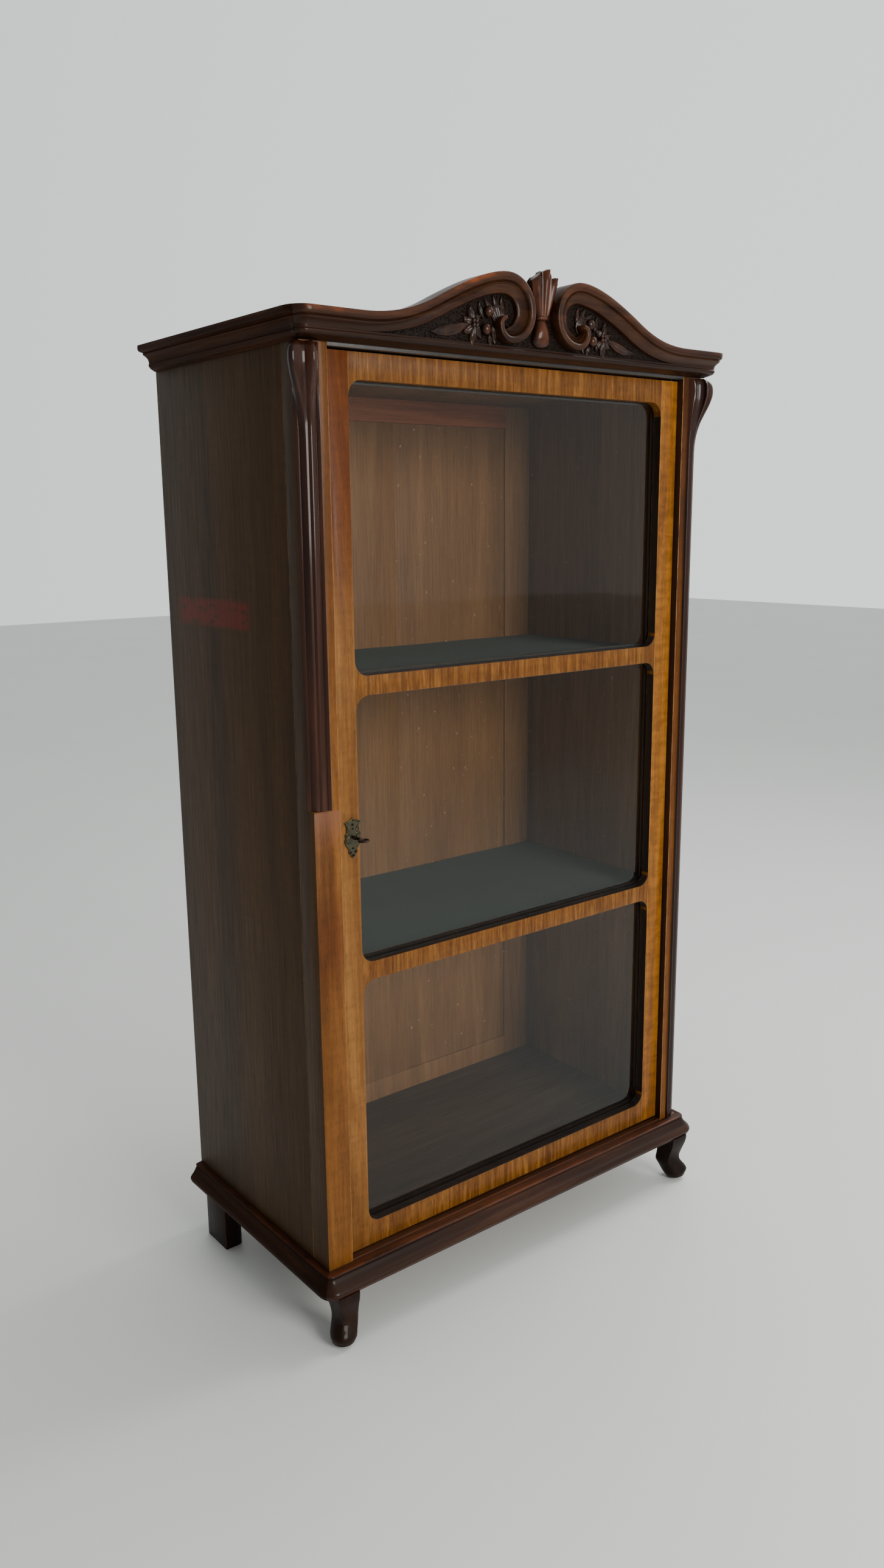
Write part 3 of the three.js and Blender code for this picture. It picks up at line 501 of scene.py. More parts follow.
veneer_stile = wood(
    "figured_veneer", (104, 57, 15), (138, 84, 25), (166, 108, 40), seed=5.7, figure=34, rough=0.38,
    shine=0.15, coat=0.03, pores=0.7, mottle=0.75, worn=WORN_PALE)
veneer_lock = wood(
    "lock_stile_veneer", (98, 59, 24), (130, 84, 38), (156, 110, 58), seed=9.2, figure=24, rough=0.42,
    shine=0.12, coat=0.02, pores=0.6, mottle=0.3, worn=WORN_PALE, tint=redder_above)
post_left = wood(
    "left_post_wood", (88, 50, 17), (118, 72, 27), (144, 94, 42), seed=12.4, figure=22, rough=0.42,
    shine=0.12, coat=0.02, pores=0.6, mottle=0.25, worn=WORN_PALE, tint=stained_patch)
post_right = wood(
    "right_post_wood", (70, 36, 8), (98, 54, 14), (124, 76, 26), seed=15.8, figure=26, rough=0.4,
    shine=0.15, coat=0.03, pores=0.7, mottle=0.3, worn=WORN_PALE, tint=marked_post)
# Near-black edge wood of the reveals and glazing beads; on the header rail and the keyhole it is painted
# shade.
dark_reveal = wood("dark_edge", (20, 13, 10), (30, 20, 15), (44, 30, 22), rough=0.35, coat=0.2, pores=0.3)
# Painted shade: the posts' inner returns are darker than their fronts, partly dark wood and partly the shadow
# in the gap beside the door.
post_return = wood(
    "shaded_post_return", (34, 18, 10), (50, 27, 15), (68, 38, 22), seed=18.0, rough=0.45, shine=0.2,
    pores=0.3)
side_wood = wood(
    "dull_side_veneer", (50, 30, 10), (63, 39, 13), (77, 50, 20), seed=21.0, figure=9, rough=0.55,
    shine=0.2, pores=0.5, mottle=0.2, worn=WORN_PALE, wear=0.4, tint=scuffed)
inside_wood = wood(
    "stained_inside", (114, 77, 45), (130, 90, 54), (146, 104, 66), seed=27.0, figure=12, rough=0.62,
    shine=0.25, tint=chipped)
inside_red = wood(
    "red_back_rail", (126, 66, 38), (152, 86, 52), (172, 106, 68), "X", seed=30.0, figure=14, rough=0.55,
    shine=0.25, tint=chipped)
floor_wood = wood(
    "dusty_floor", (52, 36, 25), (70, 50, 36), (88, 68, 50), "X", seed=33.0, figure=10, rough=0.6)


def stippled_ground():
    """The carved ground of the pediment: dark wood struck all over with a small round punch."""
    g = Graph("stippled_ground")
    cells = g.node("TexVoronoi", {"Vector": g.place, "Scale": 330.0, "Randomness": 1.0})
    pits = g.rescale(cells.outputs["Distance"], 0.1, 0.5, smooth=True)
    colour = g.blend(pits, linear(8, 4, 2), linear(24, 13, 7))
    colour = g.darker(0.5, colour, g.ramp(g.noise(g.place, 60, 4), (0.35, 0.5), (0.65, 1.3)))
    g.bump(pits, 0.9, 0.0014)
    return g.finish(colour, 0.6, Specular_IOR_Level=0.1)


def felt_cloth():
    g = Graph("dark_green_felt")
    fibres = g.noise(g.place, 900, 3, 0.7, 1.5)
    rubbed = g.rescale(g.noise(g.place, 7, 4, 0.6, 0.4), 0.4, 0.7, 0, 0.6, True)
    colour = g.blend(rubbed, linear(8, 34, 24), linear(18, 48, 36))
    colour = g.darker(0.6, colour, g.ramp(fibres, (0.35, 0.7), (0.65, 1.15)))
    g.bump(fibres, 0.4, 0.0006)
    return g.finish(colour, 0.95, Sheen_Weight=0.05, Sheen_Roughness=0.5)


def old_metal(name, dark, bright, rough, scale):
    g = Graph(name)
    blotch = g.noise(g.place, scale, 5, 0.65)
    # Lighter on the ridges: partly rubbed metal, partly a painted highlight where the raised scrolls, beads
    # and rim catch the light.
    share = g.add(g.rescale(blotch, 0.45, 0.7, 0, 0.25), g.times(g.worn(), 0.6), True)
    g.bump(g.noise(g.place, scale * 6, 3), 0.25, 0.0002)
    satin = g.rescale(blotch, 0.3, 0.7, rough + 0.12, rough - 0.1)
    return g.finish(g.blend(share, dark, bright), satin, Metallic=0.85)


def window_glass():
    """Thin clear glass: what is behind shows through, and the surface mirrors more at a slant."""
    g = Graph("old_window_glass")
    normal = g.bump(g.noise(g.stretched((1, 1, 0.5)), 5, 2), 0.08, 0.004)
    g.finish((0.9, 0.92, 0.92, 1), 0.03, Metallic=1.0)
    clear = g.node("BsdfTransparent", {"Color": (0.96, 0.975, 0.97, 1)}).outputs[0]
    slant = g.node("Fresnel", {"IOR": 1.4, "Normal": normal}).outputs[0]
    behind = g.node("NewGeometry").outputs["Backfacing"]
    share = g.times(slant, g.maths("SUBTRACT", 1.0, behind))
    mix = g.node("MixShader", {0: share, 1: clear, 2: g.shader.outputs[0]}).outputs[0]
    g.feed(g.tree.nodes["Material Output"].inputs["Surface"], mix)
    return g.material


ground = stippled_ground()
felt = felt_cloth()
# The bright tone of the brass and the iron is partly rubbed metal, partly painted highlight on the ridges.
brass = old_metal("aged_brass", linear(13, 12, 9), linear(84, 79, 60), 0.44, 160)
iron = old_metal("browned_iron", linear(40, 31, 26), linear(120, 92, 68), 0.45, 120)
glass = window_glass()


# ---- mouldings that run round the case
# A profile point is (reach at the sides, reach at the front, drop below the top). The run turns
# about the case's front corner, so that corner is rounded.
CORNER_STEPS = 10
MITRE = pi / 4
MITRE_GAP = 0.004


def corner_rings(profile, top, start, end):
    """The profile turned about the left front corner, from one angle to the other."""
    rings = []
    for step in range(CORNER_STEPS + 1):
        c, s = cos(lerp(start, end, step / CORNER_STEPS)), sin(lerp(start, end, step / CORNER_STEPS))
        reaches = [(lerp(side, front, s ** 2), drop) for side, front, drop in profile]
        rings.append([(-HALF - reach * c, POST_FRONT - reach * s, top - drop) for reach, drop in reaches])
    return rings


def side_run(profile, top):
    rear = [(-HALF - side, REAR, top - drop) for side, _, drop in profile]
    return loft([rear] + corner_rings(profile, top, 0, MITRE - MITRE_GAP))


def front_run(profile, top):
    left = corner_rings(profile, top, MITRE + MITRE_GAP, pi / 2)
    right = [[(-x, y, z) for x, y, z in points] for points in reversed(left)]
    return loft(left + right)


PLINTH_PROFILE = [(side, side * 30 / 23, drop) for side, drop in strokes(
    [(0, 0), (8.5, 1.2)],
    [(8.5, 1.2), (10.2, 2.0), (10.9, 3.6), (10.6, 5.4), (9.8, 6.6)],
    [(9.8, 6.6), (11.2, 8.2), (13.2, 12), (16.6, 16.6), (20.4, 20.4),
     (22.8, 24.6), (22.9, 28.4), (21.4, 31.4)],
    [(21.4, 31.4), (20.8, 34)],
    [(20.8, 34), (0, 34)],
)]
CORNICE_UPPER = strokes(
    [(0, 0, 0), (26.6, 36.6, 0)],
    [(26.6, 36.6, 0), (27.9, 37.8, 0.7), (28.4, 38.2, 3.1), (28.3, 38.2, 7), (26.2, 37, 9.8),
     (21.5, 34.3, 11.2)],
    [(21.5, 34.3, 11.2), (19.6, 33.2, 12), (20.3, 34.3, 13.4), (18.8, 33, 15)],
    [(18.8, 33, 15), (15, 29.4, 17.4), (12, 26, 20.6), (10.8, 24.8, 24)],
)
CORNICE_LOWER = strokes(
    [(10.8, 24.8, 24), (10.4, 24.4, 26.4)],
    [(10.4, 24.4, 26.4), (11.3, 25.5, 28), (11, 25.2, 30.6), (8.8, 22, 33.6), (5.5, 15, 35.8),
     (2.4, 8, 37.2)],
    [(2.4, 8, 37.2), (2, 6, 38)],
    [(2, 6, 38), (0, 0, 38)],
)


def worn_front_lines(lines, width=1.8):
    """Wear along level lines at these heights, on the front more than at the sides."""
    def worn(co):
        near = max((1 - min(1.0, abs(co.z / MM - z) / width) for z in lines), default=0)
        return near * (0.4 if co.y < FACE_Y + POST_FRONT * MM else 0.2)
    return worn


def build_plinth():
    worn = worn_front_lines([PLINTH_TOP - 1.6, PLINTH_TOP - 32.4], 1.6)
    pair("plinth_moulding", "plinth_side", side_run(PLINTH_PROFILE, PLINTH_TOP), mahogany_y, worn)
    front = front_run(PLINTH_PROFILE, PLINTH_TOP)
    piece("plinth_moulding_front", front, "case", "dark_mahogany", mahogany_x, ("plinth_front",), worn=worn)


def build_side_cornices():
    side = side_run(CORNICE_UPPER + CORNICE_LOWER[1:], CORNICE_TOP)
    pair("cornice_moulding", "cornice_side", side, mahogany_y, worn_front_lines([CORNICE_TOP - 3]))


# ---- pediment
CREST_END = -span("swan_neck_left")[0].x     # where the level cornice starts to rise
SCROLL_X = 68                                # under the volute's highest point
SCROLL_RADII = (51, 45, 24, 13)              # one radius for each quarter turn of the volute


def bezier(start, lean, pull, end, count):
    found = []
    for i in range(count):
        t = i / count
        weights = ((1 - t) ** 3, 3 * t * (1 - t) ** 2, 3 * t * t * (1 - t), t ** 3)
        found.append(tuple(
            sum(w * point[k] for w, point in zip(weights, (start, lean, pull, end))) for k in (0, 1)
        ))
    return found


def rising_line(count):
    """The outer line of the crest from its level end up to the top of the volute."""
    x, z = -190, (CREST_TOP + CORNICE_TOP) / 2 - 4
    lower = bezier((-CREST_END, CORNICE_TOP), (-CREST_END + 60, CORNICE_TOP), (x - 32, z - 17), (x, z), count)
    upper = bezier((x, z), (x + 45, z + 22), (-SCROLL_X - 34, CREST_TOP), (-SCROLL_X, CREST_TOP), count)
    return lower + upper


def crest_line():
    """Points (x, z, stage) of the outer line from the corner to the volute's tip.

    stage is 0 on the level, 1 at the top of the volute and then one more for each quarter turn."""
    level = [(lerp(-HALF, -CREST_END, i / 8), CORNICE_TOP, 0.0) for i in range(8)]
    rise = rising_line(26)
    points = level + [(x, z, i / len(rise)) for i, (x, z) in enumerate(rise)]
    x, z = -SCROLL_X, CREST_TOP
    for turn, radius in enumerate(SCROLL_RADII):
        start = pi / 2 - turn * pi / 2
        cx, cz = x - radius * cos(start), z - radius * sin(start)
        for i in range(12):
            angle = start - i / 12 * pi / 2
            points.append((cx + radius * cos(angle), cz + radius * sin(angle), 1 + turn + i / 12))
        x, z = cx + radius * cos(start - pi / 2), cz + radius * sin(start - pi / 2)
    points.append((x, z, 1.0 + len(SCROLL_RADII)))
    return points


# Width of the roll, of its bead and of the hollow band, by stage along the crest.
CREST_WIDTHS = [
    (0.0, 11.2, 3.8, 9.0), (0.35, 11.2, 3.8, 12.0), (1.0, 12.5, 3.6, 12.4), (2.0, 11.5, 3.4, 13.4),
    (2.5, 11.0, 3.2, 12.6), (3.0, 10.5, 3.0, 9.6), (3.5, 10.0, 2.8, 6.0), (4.0, 9.0, 2.2, 2.6),
    (5.0, 6.6, 1.4, 1.0),
]
# The section: share across roll, bead and band (0 to 3), reach on the level, reach on the crest.
CREST_SECTION = strokes(
    [(0, 3, 3), (0, 36.6, 38.2)],
    [(0, 36.6, 38.2), (0.06, 37.8, 39.5), (0.28, 38.2, 40), (0.62, 38.2, 40), (0.87, 37, 38.4),
     (1, 34.3, 34.6)],
    [(1, 34.3, 34.6), (1.2, 33.2, 33.4), (1.6, 34.3, 35.4), (2, 33, 33.4)],
    [(2, 33, 33.4), (2.3, 29.2, 30.2), (2.62, 26, 27.6), (2.86, 24.9, 27.2), (2.97, 24.8, 28.4)],
    [(2.97, 24.8, 28.4), (3, 24.8, 27.8), (3, 18, 18)],
    [(3, 18, 18), (3, 3, 3)],
)


def section_stops(stage):
    """Where roll, bead and band start and end, measured down from the outer line."""
    (start, *before), (end, *after) = next(
        rows for rows in zip(CREST_WIDTHS, CREST_WIDTHS[1:]) if stage <= rows[1][0])
    roll, bead, band = (lerp(a, b, (stage - start) / (end - start)) for a, b in zip(before, after))
    return 0, roll, roll + bead, roll + bead + band


def among(stops, across):
    """The value at a share across the stops: 0 is the first and 3 the last."""
    part = min(int(across), 2)
    return lerp(stops[part], stops[part + 1], across - part)


def corner_profile():
    """The crest's section on the level as (side reach, front reach, drop), for the corner's rings."""
    sides = (26.6 / 36.6, 20 / 33.8, 15 / 29, 10.8 / 24.8)
    stops = section_stops(0)
    return [(level * among(sides, across), level, among(stops, across)) for across, level, _ in CREST_SECTION]


def crest_ring(x, z, ahead, stage, shrink=1.0):
    stops = section_stops(stage)
    rise = ease(stage, 0.0, 0.5)
    middle = stops[1] * 0.6
    points = []
    for across, level, crest in CREST_SECTION:
        depth = middle + (among(stops, across) - middle) * shrink
        reach = lerp(level, crest, rise)
        reach = lerp(FIELD_REACH - 4, reach, shrink) if reach > FIELD_REACH else reach
        points.append((x + ahead[1] * depth, POST_FRONT - reach, z - ahead[0] * depth))
    return points


def swan_neck():
    """From the mitred corner along the level cornice, up the crest and round the volute."""
    rings = corner_rings(corner_profile(), CORNICE_TOP, MITRE + MITRE_GAP, pi / 2)[:-1]
    line = crest_line()
    for i, (x, z, stage) in enumerate(line):
        x0, z0, _ = line[max(i - 1, 0)]
        x1, z1, _ = line[min(i + 1, len(line) - 1)]
        length = hypot(x1 - x0, z1 - z0)
        ahead = ((x1 - x0) / length, (z1 - z0) / length)
        rings.append(crest_ring(x, z, ahead, stage))
    for push, shrink in ((1.6, 0.93), (2.9, 0.78), (3.8, 0.55), (4.2, 0.25)):
        rings.append(crest_ring(x + ahead[0] * push, z + ahead[1] * push, ahead, stage, shrink))
    return loft(rings)


def board_top(x):
    """Height of the pediment board's hidden top edge."""
    x = x - drift(x) if x > 0 else -x
    if x >= CREST_END:
        return CORNICE_TOP - 3
    if x <= SCROLL_X:
        return CREST_TOP - 3 - 25 * (1 - (x / SCROLL_X) ** 2)
    line = rising_line(26) + [(-SCROLL_X, CREST_TOP)]
    for (xa, za), (xb, zb) in zip(line, line[1:]):
        if -xb <= x <= -xa:
            return lerp(za, zb, (x + xa) / (xa - xb)) - 3
    return CORNICE_TOP - 3


CARVER_DRIFT = 10                            # how far the right volute stands off a true mirror image


def drift(x):
    return CARVER_DRIFT * (1 - ease(x, 115, 310)) * ease(x, -5, 15)


def carved_right(body):
    """The right-hand carving: the left one mirrored, and drawn a little outwards as the carver did."""
    verts, faces = mirrored(body)
    return [Vector((v.x + drift(v.x), v.y, v.z)) for v in verts], faces


def build_pediment():
    neck = swan_neck()
    pair("swan_neck_carved", "swan_neck", neck, mahogany_x, crest_wear, carved_right(neck))
    lower = front_run([(0, 0, 24)] + CORNICE_LOWER, CORNICE_TOP)
    piece("cornice_lower_front", lower, "case", "dark_mahogany", mahogany_x, ("pediment",), worn=unworn)
    reach = HALF - 4
    bottom = CORNICE_TOP - 29
    xs = [lerp(-reach, reach, i / 160) for i in range(161)]
    outline = [(x, board_top(x)) for x in xs] + [(reach, bottom), (-reach, bottom)]
    board = slab(outline, POST_FRONT - FIELD_REACH, POST_FRONT - 0.3)
    front = FACE_Y + (POST_FRONT - FIELD_REACH) * MM

    def pick(face):
        return 1 if abs(face.calc_center_median().y - front) < 1e-4 else 0

    piece("pediment_board", board, "case", "dark_mahogany", [mahogany_x, ground], pick=pick)
    piece("palmette_carved", palmette(), "case", "dark_mahogany", mahogany_z, ("palmette",), worn=relief_wear_and_highlight)
    spray = flower_spray()
    pair("flower_spray_carved", "flower_spray", spray, mahogany_z, relief_wear_and_highlight, carved_right(spray))


def unworn(co):
    return 0.0


def crest_wear(co):
    """The tops of the rolls are rubbed, most of all on the rising left crest and at the left corner."""
    x, z = co.x / MM, co.z / MM
    reach = (POST_FRONT * MM + FACE_Y - co.y) / MM
    left = ease(x, -175, -150) * (1 - ease(x, -90, -66)) + (1 - ease(x, -380, -345)) * ease(x, -425, -412)
    right = ease(x, 50, 80) * (1 - ease(x, 100, 140)) * 0.25
    return ease(reach, 35.5, 38) * min(1.0, 0.12 + left + right) * ease(z - board_top(x) - 3, -9, -2)


def relief_wear_and_highlight(co):
    """Carving is rubbed where it stands out furthest, and lighter there, partly a painted highlight on the
    high points.
    """
    reach = (POST_FRONT * MM + FACE_Y - co.y) / MM
    return 0.25 * ease(reach, FIELD_REACH + 5, FIELD_REACH + 12)


def palmette():
    """The fluted fan between the volutes, over a collar and a rounded boss."""
    low, high = span("palmette")
    back = POST_FRONT - FIELD_REACH + 0.5
    columns, rows = 36, 16
    fan_low, fan_tall = low.z + 44, high.z - low.z - 58

    def fan_point(u, v):
        half = 11 + 15 * v ** 0.8
        lobe = 0.5 + 0.5 * cos(2.9 * pi * u)
        crown = (1 - ease(abs(u), 0.34, 0.44)) * 9.8 + lobe * 3 * ease(v, 0.5, 1) - 14 * max(0, abs(u) - 0.8)
        out = lerp(back - 9, low.y + 3, 0.35 + 0.65 * v) + 4.5 * abs(u) ** 2.4
        flute = (1 - lobe) * (1.8 + 3.4 * v) * (1 - 0.3 * abs(u))
        lip = -2.6 * ease(v, 0.78, 1.0) * lobe
        return (u * half, min(back - 0.6, out + flute + lip), fan_low + v * (fan_tall + crown))

    rings = []
    for j in range(rows + 1):
        front = [fan_point(lerp(-1, 1, i / columns), j / rows) for i in range(columns + 1)]
        rings.append(front + [(x, back, z) for x, _, z in reversed(front)])
    rings.append([(x * 0.9, lerp(y, back, 0.25), z + 1.0) for x, y, z in rings[-1]])

    def half_round(stations):
        """A body of half rounds on the board. Stations are (height, half width, reach)."""
        angles = [pi * k / 16 for k in range(17)]
        return loft([
            [(half * cos(a), back - out * sin(a) ** 0.8, low.z + dz) for a in angles]
            for dz, half, out in curve(stations, 3)
        ])

    boss = half_round([
        (0, 9, 4), (3, 14, 8), (8, 17, 10.8), (15, 17, 12.6), (24, 14.6, 12.6), (33, 11.6, 10.4),
        (39, 9.6, 8),
    ])
    collar = half_round([(38, 10.6, 9), (39.4, 13, 11.8), (41.6, 13.8, 12.8), (43.8, 13, 11.8), (46, 11, 10)])
    verts, faces = joined(loft(rings), boss, collar)
    return [Vector((v.x + CARVER_DRIFT * 0.55, v.y, v.z)) for v in verts], faces


def leaf(root, tip, width, lift=3.0, curl=0.0, sides=9, steps=12):
    """A pointed leaf from root to tip, crowned with a grooved midrib. curl bends it in its plane."""
    base = POST_FRONT - FIELD_REACH
    x0, z0 = root
    x1, z1 = tip
    length = hypot(x1 - x0, z1 - z0)
    ax, az = (x1 - x0) / length, (z1 - z0) / length
    rings = []
    for j in range(steps + 1):
        v = j / steps
        half = max(0.15, width / 2 * sin(pi * min(1.0, v * 0.94 + 0.06)) ** 0.8 * (1 - 0.25 * v))
        bend = curl * sin(pi * v)
        cx, cz = x0 + ax * length * v - az * bend, z0 + az * length * v + ax * bend
        front = []
        for i in range(sides):
            u = lerp(-1, 1, i / (sides - 1))
            crown = lift * (1 - 0.45 * u * u) * (0.55 + 0.45 * sin(pi * min(1, v + 0.25)))
            groove = 1.1 * exp(-(u / 0.22) ** 2) * sin(pi * min(1, v + 0.15))
            ripple = 0.35 * cos(6 * pi * v + 3 * abs(u)) * abs(u)
            front.append((cx - az * half * u, base - crown + groove - ripple, cz + ax * half * u))
        rings.append(front + [(x, base + 1, z) for x, _, z in reversed(front)])
    return loft(rings)


def flower_spray():
    """Long leaf, five-petalled flower with berries at its heart, two berries and a curling stem."""
    base = POST_FRONT - FIELD_REACH
    cx, cz = -124, 1525
    bodies = [leaf((cx - 12, cz - 2), (-203, 1508), 16, 6.4, 3.4, 11, 18)]
    petals = ((104, 24, 13), (160, 20, 13), (40, 18, 12), (216, 23, 14), (262, 32, 14), (304, 24, 12))
    for angle, reach, width in petals:
        ax, az = cos(radians(angle)), sin(radians(angle))
        bodies.append(leaf((cx + 3 * ax, cz + 3 * az), (cx + reach * ax, cz + reach * az), width, 6.6, 1.4))
    for ax, az in ((1, 1), (-1, 1), (-1, -1), (1, -1)):
        seat = 4.0 * sqrt(0.5)
        bodies.append(ball((cx + seat * ax, base - 6.2, cz + seat * az), 3.4, 0.8))
    for x, z in ((-97, 1543), (-102, 1519)):
        bodies.append(ball((x, base - 4.2, z), 8.2, 0.75, 18))
    stem = [(-90, 2, 1549), (-80, 3.4, 1552), (-70, 3.4, 1546), (-68, 2.4, 1535), (-74, 1.4, 1526)]
    line = curve([(x, base - out, z) for x, out, z in stem], 5)
    bodies.append(tube(line, 2.0, 1.2))
    fronds = (
        ((-80, 1528), (-103, 1559), 14, -3), ((-76, 1530), (-88, 1566), 12, -2.5),
        ((-73, 1532), (-72, 1566), 10, -1.5), ((-90, 1524), (-84, 1499), 11, 2),
        ((-96, 1512), (-92, 1497), 9, 1), ((-106, 1533), (-113, 1556), 9, 1.5),
    )
    for root, tip, width, bend in fronds:
        bodies.append(leaf(root, tip, width, 5.0, bend))
    return joined(*bodies)


# ---- reeded corner mouldings with carved brackets
CHAMFER_FRONT, CHAMFER_SIDE = 30, 17         # of the post's chamfer that the moulding lies on
CHAMFER = hypot(CHAMFER_FRONT, CHAMFER_SIDE)
# (across, out) over the chamfer: first the plain moulding, then the same point at the bracket's head.
PLAIN = strokes(
    [(0, 0), (0, 3.6)], [(0, 3.6), (0.4, 4), (4.6, 4), (5, 3.6)], [(5, 3.6), (5.6, 3.2), (6.4, 3.6)],
    [(6.4, 3.6), (8.6, 5.8), (11.4, 7.8), (13.6, 8.4), (15.6, 8.0), (17.2, 7.4)],
    [(17.2, 7.4), (18.8, 8.0), (20.8, 8.4), (23, 7.8), (25.8, 5.8), (28, 3.6)],
    [(28, 3.6), (28.8, 3.2), (29.4, 3.6)], [(29.4, 3.6), (29.9, 4), (34.1, 4), (34.5, 3.6)],
    [(34.5, 3.6), (34.5, 0)],
)
HEAD = strokes(
    [(0, 0), (0.4, 9)], [(0.4, 9), (0.8, 10), (1.6, 11.6), (2.0, 12)], [(2.0, 12), (2.8, 12.4), (3.0, 14)],
    [(3.0, 14), (6.8, 19), (7.8, 25), (5.2, 29.6), (9.8, 31), (18, 25.4)],
    [(18, 24.6), (23, 26.4), (29, 31), (34.6, 34.4), (39.4, 33), (41.6, 27)],
    [(41.6, 27), (41.8, 23), (41.4, 20)], [(41.4, 20), (40.8, 17), (38.4, 11), (37.2, 9)],
    [(37.2, 9), (34.5, 0)],
)
HEAD_FORM = [(0, 0.0), (30, 0.02), (50, 0.12), (68, 0.3), (84, 0.56), (98, 0.8), (112, 0.97), (122, 1.0),
             (130, 0.95), (136, 0.82), (140, 0.62)]
BRACKET = 140                                # height of the carved head


def strip_ring(z, share):
    points = []
    for (across, out), (head_across, head_out) in zip(PLAIN, HEAD):
        a, h = lerp(across, head_across, share), lerp(out, head_out, share)
        points.append((
            -HALF + CHAMFER_FRONT - (a * CHAMFER_FRONT + h * CHAMFER_SIDE) / CHAMFER,
            POST_FRONT + (a * CHAMFER_SIDE - h * CHAMFER_FRONT) / CHAMFER, z,
        ))
    return points


def strip(bottom, top):
    rings = [strip_ring(bottom, 0), strip_ring(lerp(bottom, top - BRACKET, 0.5), 0)]
    for up, share in curve(HEAD_FORM, 4):
        rings.append(strip_ring(top - BRACKET + up, share))
    return loft(rings)


def build_corner_mouldings():
    def worn(co):
        return 0.8 * ease(-(co.y - FACE_Y) / MM, 15.5, 19) * (1 - ease(co.z / MM, 1340, 1380))

    for side in ("left", "right"):
        node = f"corner_moulding_{side}"
        shape = strip(span(node)[0].z, STRIP_TOP)
        shape = mirrored(shape) if side == "right" else shape
        piece(f"reeded_moulding_{side}", shape, "case", "dark_mahogany", mahogany_strip, (node,), worn=worn)


# ---- feet
FOOT = (-382, -21)                           # middle of the left front foot's top
# Height, inner and outer reach along the outward diagonal, half width across it, and roundness
# (1 for a square standing on its corner, 2 for an oval).
FOOT_STATIONS = [
    (0, -4, 9, 6, 2), (1.4, -6.5, 14, 10.5, 2), (4, -9.5, 21, 14.8, 2), (7.4, -12.4, 25.4, 18.2, 2),
    (8.6, -13.2, 25.6, 18.6, 1.95), (13, -17, 27.8, 20.8, 1.85), (18, -20, 29.6, 21.5, 1.7),
    (22, -22.3, 28.4, 21.5, 1.62), (26, -24.6, 25.6, 21.4, 1.55), (30, -27, 22, 21.3, 1.48),
    (34, -29.2, 18.6, 21.2, 1.42), (38, -30.4, 16, 21.2, 1.36), (43, -30, 14.8, 21.3, 1.28),
    (49, -28.9, 15.4, 21.8, 1.2), (57, -27.9, 18.2, 22.8, 1.12),
    (66, -26.8, 21.8, 24.3, 1.08), (75, -26.3, 25.2, 25.8, 1.05), (83, -26.5, 27, 26.6, 1.04),
]
FOOT_CORNERS = 48


def front_foot():
    top = span("foot_front_left")[1].z
    rings = []
    for z, inner, outer, across, power in curve(FOOT_STATIONS + [(top, -26.6, 27, 26.8, 1.04)], 3):
        middle, half = (inner + outer) / 2, (outer - inner) / 2
        points = []
        for c, s in circle(FOOT_CORNERS):
            size = (abs(c) ** power + abs(s) ** power) ** (-1 / power)
            d, w = middle + half * c * size, across * s * size
            points.append((FOOT[0] - (d - w) * sqrt(0.5), FOOT[1] - (d + w) * sqrt(0.5), z))
        rings.append(points)
    return loft(rings)


def build_feet():
    pair("cabriole_foot", "foot_front", front_foot(), mahogany_foot, unworn)
    refined("leg_rear_left", "case", "dark_mahogany", mahogany_foot, 1.2)
    refined("leg_rear_right", "case", "dark_mahogany", mahogany_foot, 1.2)


# ---- case
def build_case():
    inner_edge = abs(span("corner_post_left")[1].x)

    def panel_pick(sign):
        return lambda face: 1 if face.normal.x * sign > 0.7 else 0

    def post_pick(sign):
        """Material 1 inside the case, 2 on the outer side, 0 in front."""
        def pick(face):
            behind = (face.calc_center_median().y - FACE_Y) / MM > POST_FRONT + 1
            turn = face.normal.x * sign
            return 0 if not behind or abs(turn) <= 0.7 else 1 if turn > 0 else 2
        return pick

    def rubbed_edge(co):
        near_front = (co.y - FACE_Y) / MM < POST_FRONT + 0.6
        return 1.0 if near_front and abs(abs(co.x) / MM - inner_edge) < 0.5 else 0.0

    for side, sign in (("left", 1), ("right", -1)):
        refined(f"side_panel_{side}", "case", "side_veneer", [side_wood, inside_wood], 0.8, panel_pick(sign))
    for side, sign, veneer in (("left", 1, post_left), ("right", -1, post_right)):
        materials = [veneer, post_return, side_wood]
        refined(f"corner_post_{side}", "case", "golden_veneer", materials, 0.8, post_pick(sign), rubbed_edge)
    # The header rail takes the near-black edge wood: painted shade for the shadow line above the door.
    for node, slot, material in (
        ("front_rail", "dark_mahogany", mahogany_x), ("header_rail", "dark_mahogany", dark_reveal),
        ("floor_board", "inside_wood", floor_wood), ("ceiling_board", "inside_wood", inside_wood),
    ):
        refined(node, "case", slot, material, 0.6)
    for name in frame["nodes"]:
        if name.startswith(("back_", "shelf_cleat")) or name in ("shelf_lower", "shelf_upper"):
            refined(name, "case", "inside_wood", inside_red if name == "back_rail_top" else inside_wood, 0.8)


